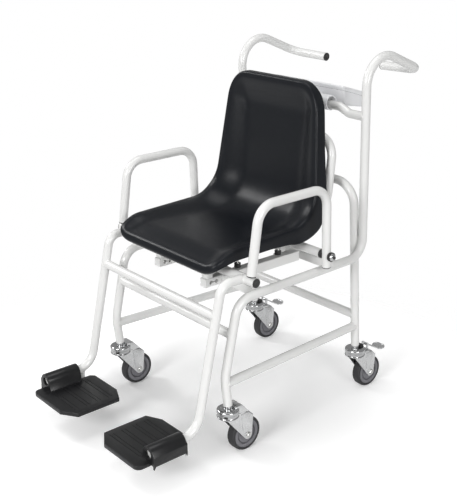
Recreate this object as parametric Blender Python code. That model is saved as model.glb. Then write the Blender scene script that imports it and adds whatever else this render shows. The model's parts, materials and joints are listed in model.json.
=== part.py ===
"""A digital chair scale on four castors, built as separate pieces in one frame.

+Z is up, the sitter faces -Y, and the sitter's left hand is on the +X side. All
lengths are metres. The sizes below are measured from the floor under the middle
of the four castor stems; the finished pieces are moved along Y so that the frame's
origin lies on the floor at the middle of the whole chair.
"""

import math

import bmesh
import bpy
from mathutils import Matrix, Vector

# Clearances and tessellation
GAP = 0.0003
TUBE_SIDES = 12
ROUND_SIDES = 16
BEND_STEP = math.radians(23)
COPE_SIDES = 24
NUT_SIDES = 6
PIN_SIDES = 8
ROUND_SEGMENTS = 2
SHARP_ANGLE = math.radians(35)

# Tubing
TUBE_RADIUS = 0.0127
TUBE_BORE_RADIUS = 0.0107
BORE_DEPTH = 0.022
PLUG_FLANGE = 0.003
PLUG_STEM = 0.015

# Side frames: leg, side rail, post and push handle are one bent tube
FRAME_X = 0.2565
LEG_FOOT_Y = -0.2699
LEG_FOOT_Z = 0.156
LEG_KINK_Y = -0.2805
LEG_KINK_Z = 0.237
RAIL_FRONT_Y = -0.2351
RAIL_FRONT_Z = 0.4520
RAIL_REAR_Y = 0.2492
RAIL_REAR_Z = 0.4605
POST_TOP_Y = 0.2258
POST_TOP_Z = 1.0723
HANDLE_Y = 0.4606
HANDLE_DROP = 0.0936
HANDLE_END_X = 0.1159
HANDLE_END_DROP = 0.0963
KINK_BEND = 0.12
RAIL_FRONT_BEND = 0.058
RAIL_REAR_BEND = 0.055
POST_BEND = 0.077
HANDLE_BEND = 0.045

# Rear arch with the rear legs
ARCH_X = FRAME_X - 2 * TUBE_RADIUS - GAP
ARCH_FOOT_Y = 0.2682
ARCH_TOP_Y = 0.2268
ARCH_TOP_Z = 0.6755
ARCH_BEND = 0.065

# Cross tubes and lower rails
LOW_FRONT_Z = 0.358
LOW_SIDE_Z = 0.222
LOW_REAR_Z = 0.258
BAR_SIZE = 0.025
BOX_TUBE_ROUND = 0.002
FRONT_BAR_Y = -0.1595
REAR_BAR_Y = 0.1305
CROSS_DROP = 0.1993
CROSS_RISE = 0.015
CROSS_END_Z = POST_TOP_Z - CROSS_DROP
CROSS_MID_Z = CROSS_END_Z + CROSS_RISE
CROSS_STEP_OUT_X = 0.196
CROSS_STEP_IN_X = 0.160
CROSS_BEND = 0.040

# Weighed frame
SUPPORT_FRONT_Y = -0.2145
SUPPORT_FRONT_Z = 0.5095
SUPPORT_FRONT_X = 0.3030
SUPPORT_REAR_Y = 0.0610
SUPPORT_REAR_Z = 0.5155
SUPPORT_REAR_X = 0.2680
SEAT_RAIL_X = 0.180
SEAT_RAIL_SIZE = 0.028
SEAT_RAIL_Z = 0.490
CELL_X = 0.105
CELL_LENGTH = 0.057
CELL_LEAD = 0.0055
CELL_SIZE = 0.024
CELL_SLOT = 0.003
CELL_HOLE_RADIUS = 0.006
FOOT_LENGTH = 0.020
HANGER_X = 0.2555
HANGER_TOP_Y = -0.2900
HANGER_TOP_Z = 0.5105
HANGER_LOW_Y = -0.3779
HANGER_LOW_Z = 0.1108
HANGER_END_Y = -0.5290
HANGER_TOP_BEND = 0.038
HANGER_LOW_BEND = 0.062
HANGER_CROSS_Z = 0.4255
PEG_Y = -0.4100
PEG_RADIUS = 0.0065
PEG_FOOT_Z = 0.056
LOOP_X = 0.198
LOOP_LOW_Y = 0.0785
LOOP_LOW_Z = 0.5330
LOOP_KNEE_Y = 0.1535
LOOP_KNEE_Z = 0.640
LOOP_TOP_Y = 0.1700
LOOP_TOP_Z = 0.812
LOOP_LOW_BEND = 0.040
LOOP_KNEE_BEND = 0.080
LOOP_TOP_BEND = 0.058

# Armrests
ARM_X = 0.2892
ARM_FRONT_FOOT_Y = -0.2184
ARM_FRONT_FOOT_Z = 0.5268
ARM_FRONT_TOP_Y = -0.1926
ARM_FRONT_TOP_Z = 0.7090
ARM_REAR_TOP_Y = 0.0524
ARM_REAR_TOP_Z = 0.7115
ARM_REAR_FOOT_Y = 0.0619
ARM_REAR_FOOT_Z = 0.4820
ARM_FRONT_BEND = 0.055
ARM_REAR_BEND = 0.053
BOLT_RADIUS = 0.004
BOLT_HOLE_RADIUS = 0.0045
BOLT_REACH = 0.012
KNOB_RADIUS = 0.013
KNOB_LENGTH = 0.009
KNOB_ROUND = 0.002
BOLT_HEAD_RADIUS = 0.008
BOLT_HEAD_LENGTH = 0.004
BOLT_TIP_RADIUS = 0.0055
BOLT_TIP_LENGTH = 0.004

# Seat shell: a middle line bent from the front lip to the top of the back
SEAT_WALL = 0.0045
SEAT_LIP_Y = -0.2820
SEAT_LIP_Z = 0.5150
SEAT_FRONT_Y = -0.2690
SEAT_FRONT_Z = 0.5620
SEAT_CREASE_Y = 0.1010
SEAT_CREASE_Z = 0.5750
SEAT_TOP_Y = 0.1600
SEAT_TOP_Z = 0.9660
SEAT_FRONT_BEND = 0.032
SEAT_CREASE_BEND = 0.140
SEAT_BEND_STEP = math.radians(3)
PAN_HALF_WIDTH = 0.224
TOP_HALF_WIDTH = 0.184
SEAT_CORNER = 0.055
RIM_HEIGHT = 0.018
RIM_WIDTH = 0.012
RIM_DROP = 0.006
BOWL_WIDTH = 0.075
GRID_INSET = 0.034
SKIRT_FLARE = 0.002
SKIRT_FRONT = 0.026
SKIRT_PAN = 0.031
SKIRT_BEND_START = 0.044
SKIRT_CREASE = 0.067
SKIRT_BEND_END = 0.026
SKIRT_BACK = 0.004
SKIRT_TOP = -0.005
SEAT_ROW_STEP = 0.034
SEAT_COLUMNS = 8
CORNER_STEPS = 2
BOSS_RADIUS = 0.011
BOSS_FOOT_Z = 0.521
BOSS_HOLE_RADIUS = 0.0035
BOSS_HOLE_DEPTH = 0.014
BUFFER_X = 0.174
BUFFER_FRONT_Y = -0.165
BUFFER_REAR_Y = -0.015
BUFFER_RADIUS = 0.0090
BUFFER_ROUND = 0.002
STUD_RADIUS = 0.003
STUD_LENGTH = 0.012

# Footplates
PLATE_TOP_Z = 0.0905
PLATE_THICKNESS = 0.012
PLATE_INNER_X = 0.0645
PLATE_OUTER_X = 0.262
PLATE_REAR_OUTER_X = 0.239
PLATE_FRONT_Y = -0.576
PLATE_REAR_Y = -0.384
PLATE_CHAMFER_X = 0.047
PLATE_CHAMFER_FRONT = 0.031
PLATE_CHAMFER_REAR = 0.023
PLATE_OUTER_ROUND = 0.018
PLATE_OUTER_REAR_ROUND = 0.012
PLATE_ROUND_STEPS = 5
HUB_RADIUS = 0.0225
HUB_FRONT_Y = -0.537
HUB_REAR_Y = -0.430
HUB_WALL_FOOT_Z = 0.083
HUB_WALL_X = 0.0275
HUB_FILLET_X = 0.030
HUB_CLEARANCE = 0.0004
HUB_ARC_START = math.radians(35)
HUB_ARC_END = math.radians(170)
HUB_ARC_STEPS = 10
EAR_DROP = 0.007
EAR_WIDTH = 0.009
EAR_THICKNESS = 0.006
GROOVE_WIDTH = 0.0028
GROOVE_DEPTH = 0.0012
GROOVE_PAIRS = 4
GROOVE_PITCH = 0.037
GROOVE_PAIR_STEP = 0.011
GROOVE_FIRST_Y = -0.418
GROOVE_INNER_X = 0.086
GROOVE_OUTER_X = 0.222

# Castors, with places measured from the stem's axis
CASTOR_FRONT_Y = LEG_FOOT_Y
CASTOR_REAR_Y = 0.2690
CASTOR_TRAIL = 0.0572
WHEEL_RADIUS = 0.050
WHEEL_WIDTH = 0.028
WHEEL_SIDES = 20
WHEEL_BORE_RADIUS = 0.0065
WHEEL_SHOULDER = 0.005
TYRE_INNER_RADIUS = 0.040
FACE_RECESS = 0.003
WHEEL_BOSS_RADIUS = 0.013
WHEEL_BOSS_WIDTH = 0.031
AXLE_RADIUS = 0.006
FORK_HALF_GAP = 0.0165
FORK_SHEET = 0.003
FORK_TIP_RADIUS = 0.014
FORK_TIP_START = math.radians(215)
FORK_TIP_END = math.radians(370)
FORK_TIP_STEPS = 6
FORK_FRONT_Y = -0.024
FORK_REAR_Y = 0.076
FORK_REAR_Z = 0.107
FORK_KNEE_Y = 0.058
FORK_KNEE_Z = 0.124
HOOD_FRONT_Y = 0.0125
HOOD_CREST_Y = 0.035
HOOD_SLOPE_Y = 0.050
HOOD_SLOPE_Z = 0.1345
HOOD_CLEARANCE = 0.0025
HOOD_ROUND = 0.0015
BLOCK_LENGTH = 0.014
BLOCK_HALF_WIDTH = 0.012
RING_RADIUS = 0.031
RING_TOP_Z = 0.1455
RING_SPLIT_Z = 0.1335
RING_FOOT_Z = 0.1205
RING_LOW_RADIUS = 0.0290
RING_ROUND = 0.003
COLLAR_RADIUS = 0.0105
STEM_RADIUS = 0.0070
STEM_TOP_Z = 0.1680
NUT_RADIUS = 0.0085
NUT_LENGTH = 0.005

# Brake pedals on the rear castors
PEDAL_HINGE_Y = 0.046
PEDAL_HINGE_Z = 0.1450
PEDAL_ARM_SLOPE = math.radians(-30.5)
PEDAL_ARM_LENGTH = 0.064
PEDAL_ARM_HALF_WIDTH = 0.0135
PEDAL_ARM_SHARES = ((0, 0.60), (0.22, 0.60), (0.36, 1.00), (1.00, 1.00))
PEDAL_PAD_SLOPE = math.radians(11)
PEDAL_PAD_LENGTH = 0.026
PEDAL_PAD_HALF_WIDTH = 0.022
PEDAL_PAD_SHARES = ((0, 0.62), (0.25, 0.95), (0.45, 1.00), (0.75, 0.92), (1.00, 0.50))
PEDAL_THICKNESS = 0.004
PEDAL_BARREL_RADIUS = 0.0045
PEDAL_PIN_HOLE = 0.0025
PEDAL_PIN_RADIUS = 0.0020
PEDAL_EAR_HALF_GAP = 0.0085
PEDAL_EAR_SHEET = 0.0025
PEDAL_EAR_HALF = 0.0045

# Display head
SLEEVE_RADIUS = 0.0215
SLEEVE_BORE = 0.0180
SLEEVE_RISE = 0.005
SLEEVE_Z = CROSS_MID_Z + SLEEVE_RISE
SLEEVE_HALF_LENGTH = 0.125
SADDLE_HALF_WIDTH = 0.060
SADDLE_HALF_HEIGHT = 0.017
SADDLE_REACH = 0.012
HOUSING_HALF_WIDTH = 0.142
HOUSING_TOP_FRONT_Y = 0.2625
HOUSING_TOP_FRONT_RISE = 0.0475
HOUSING_TOP_REAR_Y = 0.3620
HOUSING_TOP_REAR_RISE = 0.0178
HOUSING_FOOT_REAR_Y = 0.3560
HOUSING_FOOT_REAR_DROP = 0.0250
HOUSING_FOOT_FRONT_Y = 0.2735
HOUSING_FOOT_FRONT_DROP = 0.0120
HOUSING_ROUND = 0.007
HOUSING_SEGMENTS = 3
SCREEN_WIDTH = 0.130
SCREEN_LENGTH = 0.040
SCREEN_MIDDLE = -0.018
SCREEN_THICKNESS = 0.002
KEY_WIDTH = 0.026
KEY_LENGTH = 0.014
KEY_MIDDLE = 0.026
KEY_HEIGHT = 0.004
KEY_PROUD = 0.0015
KEY_PITCH = 0.034
KEY_WELL = 0.0045
KEY_ROUND = 0.0008
KEY_SEGMENTS = 1
PANEL_MARGIN = 0.0005

# Finishes: colour, roughness, metallic
WHITE_PAINT = ((0.80, 0.80, 0.79), 0.25, 0.0)
BLACK_SHELL = ((0.025, 0.027, 0.030), 0.45, 0.0)
BLACK_PLASTIC = ((0.020, 0.020, 0.021), 0.50, 0.0)
BLACK_RUBBER = ((0.030, 0.030, 0.030), 0.80, 0.0)
ZINC_PLATE = ((0.60, 0.60, 0.60), 0.30, 1.0)
ALUMINIUM = ((0.70, 0.71, 0.72), 0.40, 1.0)
WHEEL_GREY = ((0.12, 0.12, 0.13), 0.60, 0.0)
PALE_PLASTIC = ((0.72, 0.73, 0.75), 0.45, 0.0)
SCREEN_GREEN = ((0.30, 0.36, 0.30), 0.15, 0.0)
KEY_BLUE = ((0.18, 0.28, 0.45), 0.55, 0.0)

LEFT, RIGHT = 1, -1
SIDE_NAMES = {LEFT: "left", RIGHT: "right"}


def clear_scene():
    """Remove everything the scene starts with."""
    for obj in list(bpy.data.objects):
        bpy.data.objects.remove(obj)


def material_of(name, finish):
    """Make one piece's material from a (colour, roughness, metallic) finish."""
    colour, roughness, metallic = finish
    material = bpy.data.materials.new(name)
    material.use_nodes = True
    shader = material.node_tree.nodes["Principled BSDF"]
    shader.inputs["Base Color"].default_value = (*colour, 1)
    shader.inputs["Roughness"].default_value = roughness
    shader.inputs["Metallic"].default_value = metallic
    material.diffuse_color = (*colour, 1)
    return material


def mesh_from(bm, name):
    """Turn a bmesh into a mesh whose faces point out."""
    bmesh.ops.recalc_face_normals(bm, faces=bm.faces)
    mesh = bpy.data.meshes.new(name)
    bm.to_mesh(mesh)
    bm.free()
    return mesh


def add_piece(name, mesh, finish, origin=(0, 0, 0)):
    """Put a mesh, drawn in its place, into the scene with its own origin."""
    front_y, rear_y = PLATE_FRONT_Y, HANDLE_Y + TUBE_RADIUS
    mesh.transform(Matrix.Translation(-Vector(origin)))
    obj = bpy.data.objects.new(name, mesh)
    obj.location = Vector(origin) - Vector((0, (front_y + rear_y) / 2, 0))
    bpy.context.scene.collection.objects.link(obj)
    mesh.materials.clear()
    mesh.materials.append(material_of(name, finish))
    mesh.shade_smooth()
    mesh.set_sharp_from_angle(angle=SHARP_ANGLE)
    return obj


def combined(mesh, joins=(), cuts=()):
    """Join meshes to a mesh and cut others from it, and return the result."""
    base = bpy.data.objects.new("base", mesh)
    bpy.context.scene.collection.objects.link(base)
    helpers = []
    for operation, others in (("UNION", joins), ("DIFFERENCE", cuts)):
        for other in others:
            helper = bpy.data.objects.new("helper", other)
            helper.hide_render = True
            helper.display_type = "WIRE"
            bpy.context.scene.collection.objects.link(helper)
            helpers.append(helper)
            modifier = base.modifiers.new(operation.lower(), "BOOLEAN")
            modifier.operation = operation
            modifier.solver = "EXACT"
            modifier.object = helper
    graph = bpy.context.evaluated_depsgraph_get()
    result = bpy.data.meshes.new_from_object(base.evaluated_get(graph), depsgraph=graph)
    for obj in [base, *helpers]:
        bpy.data.objects.remove(obj)
    return result


def filleted(corners, bends, closed=False, bend_step=BEND_STEP):
    """Round the corners of a path, each with its own bend radius."""
    corners = [Vector(corner) for corner in corners]
    count = len(corners)
    points = []
    for index, corner in enumerate(corners):
        if not closed and index in (0, count - 1):
            points.append(corner)
            continue
        before = (corners[index - 1] - corner).normalized()
        after = (corners[(index + 1) % count] - corner).normalized()
        turn = math.pi - before.angle(after)
        radius = bends[index if closed else index - 1]
        reach = radius * math.tan(turn / 2)
        start = corner + before * reach
        centre_way = (before + after).normalized()
        centre = corner + centre_way * (radius / math.cos(turn / 2))
        first = start - centre
        axis = before.cross(after).normalized()
        steps = max(2, math.ceil(turn / bend_step))
        for step in range(steps + 1):
            spin = Matrix.Rotation(-turn * step / steps, 3, axis)
            points.append(centre + spin @ first)
    return points


def ring_frames(points, closed=False):
    """Return the place, side way and up way of each ring along a path."""
    count = len(points)
    tangents = []
    for index in range(count):
        before = points[index - 1] if closed or index else points[0]
        after = points[(index + 1) % count] if closed or index < count - 1 else points[-1]
        tangents.append((after - before).normalized())
    guide = Vector((1, 0, 0))
    if abs(tangents[0].dot(guide)) > math.cos(math.pi / 4):
        guide = Vector((0, 0, 1))
    side = tangents[0].cross(guide).normalized()
    frames = []
    for index, tangent in enumerate(tangents):
        if index:
            side = tangents[index - 1].rotation_difference(tangent) @ side
        side = (side - tangent * side.dot(tangent)).normalized()
        frames.append((points[index], side, tangent.cross(side)))
    return frames


def swept(points, radius, closed=False, bores=(), bore_radius=TUBE_BORE_RADIUS, sides=TUBE_SIDES):
    """Sweep a round section along a path. Ends named in bores are drilled out."""
    frames = ring_frames(points, closed)
    bm = bmesh.new()

    def ring(frame, size):
        place, side, up = frame
        turns = [math.tau * index / sides for index in range(sides)]
        return [bm.verts.new(place + size * (math.cos(t) * side + math.sin(t) * up)) for t in turns]

    rings = [ring(frame, radius) for frame in frames]
    if "start" in bores:
        inward = (points[1] - points[0]).normalized() * BORE_DEPTH
        place, side, up = frames[0]
        rings.insert(0, ring(frames[0], bore_radius))
        rings.insert(0, ring((place + inward, side, up), bore_radius))
    if "end" in bores:
        inward = (points[-2] - points[-1]).normalized() * BORE_DEPTH
        place, side, up = frames[-1]
        rings.append(ring(frames[-1], bore_radius))
        rings.append(ring((place + inward, side, up), bore_radius))
    pairs = list(zip(rings, rings[1:]))
    if closed:
        pairs.append((rings[-1], rings[0]))
    for low, high in pairs:
        for index in range(sides):
            after = (index + 1) % sides
            bm.faces.new((low[index], low[after], high[after], high[index]))
    if not closed:
        bm.faces.new(rings[0])
        bm.faces.new(rings[-1])
    return mesh_from(bm, "tube")


def turned(profile, axis, centre, sides=ROUND_SIDES):
    """Spin a closed (radius, along) outline about an axis through a centre."""
    axis = Vector(axis)
    guide = Vector((0, 1, 0)) if abs(axis.y) < 1 else Vector((0, 0, 1))
    side = axis.cross(guide).normalized()
    up = axis.cross(side)
    centre = Vector(centre)
    bm = bmesh.new()
    rings = []
    for radius, along in profile:
        place = centre + axis * along
        if radius == 0:
            rings.append([bm.verts.new(place)])
            continue
        turns = [math.tau * index / sides for index in range(sides)]
        spots = [place + radius * (math.cos(t) * side + math.sin(t) * up) for t in turns]
        rings.append([bm.verts.new(spot) for spot in spots])
    pairs = list(zip(rings, rings[1:]))
    if profile[0][0] and profile[-1][0]:
        pairs.append((rings[-1], rings[0]))
    for low, high in pairs:
        for index in range(sides):
            after = (index + 1) % sides
            if len(low) == 1:
                bm.faces.new((low[0], high[after], high[index]))
            elif len(high) == 1:
                bm.faces.new((low[index], low[after], high[0]))
            else:
                bm.faces.new((low[index], low[after], high[after], high[index]))
    return mesh_from(bm, "turned")


def rod(axis, centre, radius, low, high, sides=ROUND_SIDES):
    """A plain solid rod along an axis, from low to high along it."""
    return turned([(0, low), (radius, low), (radius, high), (0, high)], axis, centre, sides)


def extruded(outline, axis, low, high):
    """Extrude a flat outline along a world axis. Its pairs are the other two axes."""
    bm = bmesh.new()
    loops = []
    for along in (low, high):
        loop = []
        for first, second in outline:
            place = [first, second]
            place.insert(axis, along)
            loop.append(bm.verts.new(place))
        loops.append(loop)
    bm.faces.new(loops[0])
    bm.faces.new(loops[1])
    count = len(outline)
    for index in range(count):
        after = (index + 1) % count
        bm.faces.new((loops[0][index], loops[0][after], loops[1][after], loops[1][index]))
    return mesh_from(bm, "extruded")


def box(low, high):
    """A box between two corners."""
    outline = [(low[1], low[2]), (high[1], low[2]), (high[1], high[2]), (low[1], high[2])]
    return extruded(outline, 0, low[0], high[0])


def softened(mesh, width, segments=ROUND_SEGMENTS):
    """Round every sharp edge of a mesh a little."""
    bm = bmesh.new()
    bm.from_mesh(mesh)
    sharp = [edge for edge in bm.edges if edge.calc_face_angle(0) > SHARP_ANGLE]
    bmesh.ops.bevel(
        bm, geom=sharp, offset=width, segments=segments, profile=0.5, affect="EDGES", clamp_overlap=True
    )
    return mesh_from(bm, "softened")


def handle_end(side):
    return (side * HANDLE_END_X, HANDLE_Y, POST_TOP_Z - HANDLE_END_DROP)


def frame_corners(side):
    """The corners of one side frame, from the castor to the push handle's end."""
    flat = [
        (LEG_FOOT_Y, LEG_FOOT_Z),
        (LEG_KINK_Y, LEG_KINK_Z),
        (RAIL_FRONT_Y, RAIL_FRONT_Z),
        (RAIL_REAR_Y, RAIL_REAR_Z),
        (POST_TOP_Y, POST_TOP_Z),
        (HANDLE_Y, POST_TOP_Z - HANDLE_DROP),
    ]
    corners = [(side * FRAME_X, y, z) for y, z in flat]
    return corners + [handle_end(side)]


FRAME_BENDS = [KINK_BEND, RAIL_FRONT_BEND, RAIL_REAR_BEND, POST_BEND, HANDLE_BEND]


def between(start, end, z):
    """The y at height z on the straight line through two (y, z) places."""
    share = (z - start[1]) / (end[1] - start[1])
    return start[0] + (end[0] - start[0]) * share


def low_leg_y(z):
    return between((LEG_FOOT_Y, LEG_FOOT_Z), (LEG_KINK_Y, LEG_KINK_Z), z)


def high_leg_y(z):
    return between((LEG_KINK_Y, LEG_KINK_Z), (RAIL_FRONT_Y, RAIL_FRONT_Z), z)


def post_y(z):
    return between((RAIL_REAR_Y, RAIL_REAR_Z), (POST_TOP_Y, POST_TOP_Z), z)


def arch_y(z):
    return between((ARCH_FOOT_Y, LEG_FOOT_Z), (ARCH_TOP_Y, ARCH_TOP_Z), z)


def hanger_y(z):
    return between((HANGER_TOP_Y, HANGER_TOP_Z), (HANGER_LOW_Y, HANGER_LOW_Z), z)


def rail_z(y):
    """The height of the side rails' middle line at y."""
    share = (y - RAIL_FRONT_Y) / (RAIL_REAR_Y - RAIL_FRONT_Y)
    return RAIL_FRONT_Z + (RAIL_REAR_Z - RAIL_FRONT_Z) * share


def frame_cutters():
    """Slightly thick copies of both side frames, to shape what is welded to them."""
    radius = TUBE_RADIUS + GAP
    paths = [filleted(frame_corners(side), FRAME_BENDS) for side in (LEFT, RIGHT)]
    return [swept(path, radius, sides=COPE_SIDES) for path in paths]


def arch_path():
    corners = [
        (-ARCH_X, ARCH_FOOT_Y, LEG_FOOT_Z),
        (-ARCH_X, ARCH_TOP_Y, ARCH_TOP_Z),
        (ARCH_X, ARCH_TOP_Y, ARCH_TOP_Z),
        (ARCH_X, ARCH_FOOT_Y, LEG_FOOT_Z),
    ]
    return filleted(corners, [ARCH_BEND, ARCH_BEND])


def arch_cutter():
    return swept(arch_path(), TUBE_RADIUS + GAP, sides=COPE_SIDES)


def straight_tube(start, end, cutters):
    """A straight tube whose ends are shaped to the tubes that they meet."""
    return combined(swept([Vector(start), Vector(end)], TUBE_RADIUS), cuts=cutters)


def build_side_frames():
    for side in (LEFT, RIGHT):
        path = filleted(frame_corners(side), FRAME_BENDS)
        tube = swept(path, TUBE_RADIUS, bores=("start", "end"))
        add_piece(f"side_frame_{SIDE_NAMES[side]}", tube, WHITE_PAINT)
        mouth = handle_end(side)
        add_plug(f"handle_cap_{SIDE_NAMES[side]}", mouth, path[-1] - path[-2], BLACK_PLASTIC)


def add_plug(name, mouth, way, finish, hole=0, flange=PLUG_FLANGE):
    """A push-in end plug. Way points out of the tube at its mouth."""
    stem_radius = TUBE_BORE_RADIUS * math.cos(math.pi / TUBE_SIDES) - GAP
    profile = [
        (hole, -PLUG_STEM),
        (stem_radius, -PLUG_STEM),
        (stem_radius, GAP),
        (TUBE_RADIUS, GAP),
        (TUBE_RADIUS, flange / 2),
        (TUBE_RADIUS - PLUG_FLANGE / 3, flange),
        (hole, flange),
    ]
    plug = turned(profile, Vector(way).normalized(), mouth, TUBE_SIDES)
    return add_piece(name, plug, finish)


def build_arch():
    arch = swept(arch_path(), TUBE_RADIUS, bores=("start", "end"))
    add_piece("rear_arch", arch, WHITE_PAINT)


def build_low_rails():
    front_y = high_leg_y(LOW_FRONT_Z)
    front = straight_tube((-FRAME_X, front_y, LOW_FRONT_Z), (FRAME_X, front_y, LOW_FRONT_Z), frame_cutters())
    add_piece("lower_front_cross_tube", front, WHITE_PAINT)
    rear_y = arch_y(LOW_REAR_Z)
    rear = straight_tube((-ARCH_X, rear_y, LOW_REAR_Z), (ARCH_X, rear_y, LOW_REAR_Z), [arch_cutter()])
    add_piece("lower_rear_cross_tube", rear, WHITE_PAINT)
    for side in (LEFT, RIGHT):
        start = (side * FRAME_X, low_leg_y(LOW_SIDE_Z), LOW_SIDE_Z)
        end = (side * ARCH_X, arch_y(LOW_SIDE_Z), LOW_SIDE_Z)
        rail = straight_tube(start, end, [*frame_cutters(), arch_cutter()])
        add_piece(f"lower_side_rail_{SIDE_NAMES[side]}", rail, WHITE_PAINT)


def bar_span(middle_y):
    """The bottom and top heights of a load bar, level with the side rails."""
    low = rail_z(middle_y) - TUBE_RADIUS
    return low, low + BAR_SIZE


def build_load_bars():
    for name, middle_y in (("front_load_bar", FRONT_BAR_Y), ("rear_load_bar", REAR_BAR_Y)):
        low, high = bar_span(middle_y)
        half = BAR_SIZE / 2
        bar = box((-FRAME_X, middle_y - half, low), (FRAME_X, middle_y + half, high))
        bar = softened(bar, BOX_TUBE_ROUND)
        lugs = []
        if middle_y == REAR_BAR_Y:
            rest = rear_cell_front_y() + CELL_LENGTH + GAP
            for side in (LEFT, RIGHT):
                inner = side * CELL_X - CELL_SIZE / 2
                lugs.append(box((inner, rest, low), (inner + CELL_SIZE, middle_y, high)))
        add_piece(name, combined(bar, lugs, frame_cutters()), WHITE_PAINT)


def rear_cell_front_y():
    return SUPPORT_REAR_Y - FOOT_LENGTH / 2 - CELL_LEAD


def front_cell_front_y():
    return FRONT_BAR_Y - BAR_SIZE / 2 - GAP - CELL_LENGTH


def cell_span(middle_y):
    low, high = bar_span(middle_y)
    middle = (low + high) / 2
    return middle - CELL_SIZE / 2, middle + CELL_SIZE / 2


def build_load_cells():
    """Four bending-beam cells, each with the long hole that lets it flex."""
    places = (("front", front_cell_front_y(), FRONT_BAR_Y), ("rear", rear_cell_front_y(), REAR_BAR_Y))
    for end, front_y, bar_y in places:
        low, high = cell_span(bar_y)
        middle_z = (low + high) / 2
        for side in (LEFT, RIGHT):
            inner = side * CELL_X - CELL_SIZE / 2
            outer = inner + CELL_SIZE
            beam = box((inner, front_y, low), (outer, front_y + CELL_LENGTH, high))
            reach = CELL_SIZE
            start, stop = front_y + CELL_LENGTH / 3, front_y + CELL_LENGTH * 2 / 3
            holes = [
                rod((1, 0, 0), (side * CELL_X, y, middle_z), CELL_HOLE_RADIUS, -reach, reach, TUBE_SIDES)
                for y in (start, stop)
            ]
            half = CELL_SLOT / 2
            slot = box((inner - reach, start, middle_z - half), (outer + reach, stop, middle_z + half))
            cell = combined(beam, cuts=[*holes, slot])
            add_piece(f"load_cell_{end}_{SIDE_NAMES[side]}", cell, ALUMINIUM)


def cross_path():
    """The raised cross tube between the posts."""
    y = post_y(CROSS_END_Z)
    right = [
        (FRAME_X, y, CROSS_END_Z),
        (CROSS_STEP_OUT_X, y, CROSS_END_Z),
        (CROSS_STEP_IN_X, y, CROSS_MID_Z),
    ]
    left = [(-x, place_y, z) for x, place_y, z in reversed(right)]
    return filleted(right + left, [CROSS_BEND] * 4)


def build_display_cross_tube():
    tube = combined(swept(cross_path(), TUBE_RADIUS), cuts=frame_cutters())
    add_piece("display_cross_tube", tube, WHITE_PAINT)


def support_cutter(front):
    """A slightly thick copy of a support tube, to shape what is welded to it."""
    y, z = (SUPPORT_FRONT_Y, SUPPORT_FRONT_Z) if front else (SUPPORT_REAR_Y, SUPPORT_REAR_Z)
    return rod((1, 0, 0), (0, y, z), TUBE_RADIUS + GAP, -SUPPORT_FRONT_X, SUPPORT_FRONT_X, COPE_SIDES)


def build_support_tubes():
    """The two weighed cross tubes, each with two feet that press on the load cells."""
    for end, y, z, half, bar_y in (
        ("front", SUPPORT_FRONT_Y, SUPPORT_FRONT_Z, SUPPORT_FRONT_X, FRONT_BAR_Y),
        ("rear", SUPPORT_REAR_Y, SUPPORT_REAR_Z, SUPPORT_REAR_X, REAR_BAR_Y),
    ):
        ends = [Vector((-half, y, z)), Vector((half, y, z))]
        tube = swept(ends, TUBE_RADIUS, bores=("start", "end"))
        foot_z = cell_span(bar_y)[1] + GAP
        feet = []
        for side in (LEFT, RIGHT):
            inner = side * CELL_X - CELL_SIZE / 2
            low = (inner, y - FOOT_LENGTH / 2, foot_z)
            feet.append(box(low, (inner + CELL_SIZE, y + FOOT_LENGTH / 2, z)))
        add_piece(f"{end}_support_tube", combined(tube, feet), WHITE_PAINT)
        hole = 0 if end == "front" else BOLT_HOLE_RADIUS
        flange = PLUG_FLANGE if end == "front" else ARM_X - TUBE_RADIUS - GAP - half
        for side in (LEFT, RIGHT):
            name = f"{end}_tube_cap_{SIDE_NAMES[side]}"
            add_plug(name, (side * half, y, z), (side, 0, 0), BLACK_PLASTIC, hole, flange)


def build_seat_rails():
    """Two box rails that end against the undersides of the support tubes."""
    half = SEAT_RAIL_SIZE / 2
    clear = FOOT_LENGTH / 2 + GAP
    for side in (LEFT, RIGHT):
        low = (side * SEAT_RAIL_X - half, SUPPORT_FRONT_Y + clear, SEAT_RAIL_Z - half)
        high = (side * SEAT_RAIL_X + half, SUPPORT_REAR_Y - clear, SEAT_RAIL_Z + half)
        rail = softened(box(low, high), BOX_TUBE_ROUND)
        rail = combined(rail, cuts=[support_cutter(True), support_cutter(False)])
        add_piece(f"seat_rail_{SIDE_NAMES[side]}", rail, WHITE_PAINT)


def build_back_loop():
    """The rounded loop behind the back of the seat."""
    flat = [(LOOP_LOW_Y, LOOP_LOW_Z), (LOOP_KNEE_Y, LOOP_KNEE_Z), (LOOP_TOP_Y, LOOP_TOP_Z)]
    left = [(LOOP_X, y, z) for y, z in flat]
    right = [(-x, y, z) for x, y, z in reversed(left)]
    bends = [LOOP_LOW_BEND, LOOP_KNEE_BEND, LOOP_TOP_BEND]
    path = filleted(left + right, bends + bends[::-1], closed=True)
    loop = combined(swept(path, TUBE_RADIUS, closed=True), cuts=[support_cutter(False)])
    add_piece("back_loop", loop, WHITE_PAINT)


def hanger_path(side):
    flat = [
        (SUPPORT_FRONT_Y, SUPPORT_FRONT_Z),
        (HANGER_TOP_Y, HANGER_TOP_Z),
        (HANGER_LOW_Y, HANGER_LOW_Z),
        (HANGER_END_Y, HANGER_LOW_Z),
    ]
    corners = [(side * HANGER_X, y, z) for y, z in flat]
    return filleted(corners, [HANGER_TOP_BEND, HANGER_LOW_BEND])


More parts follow.
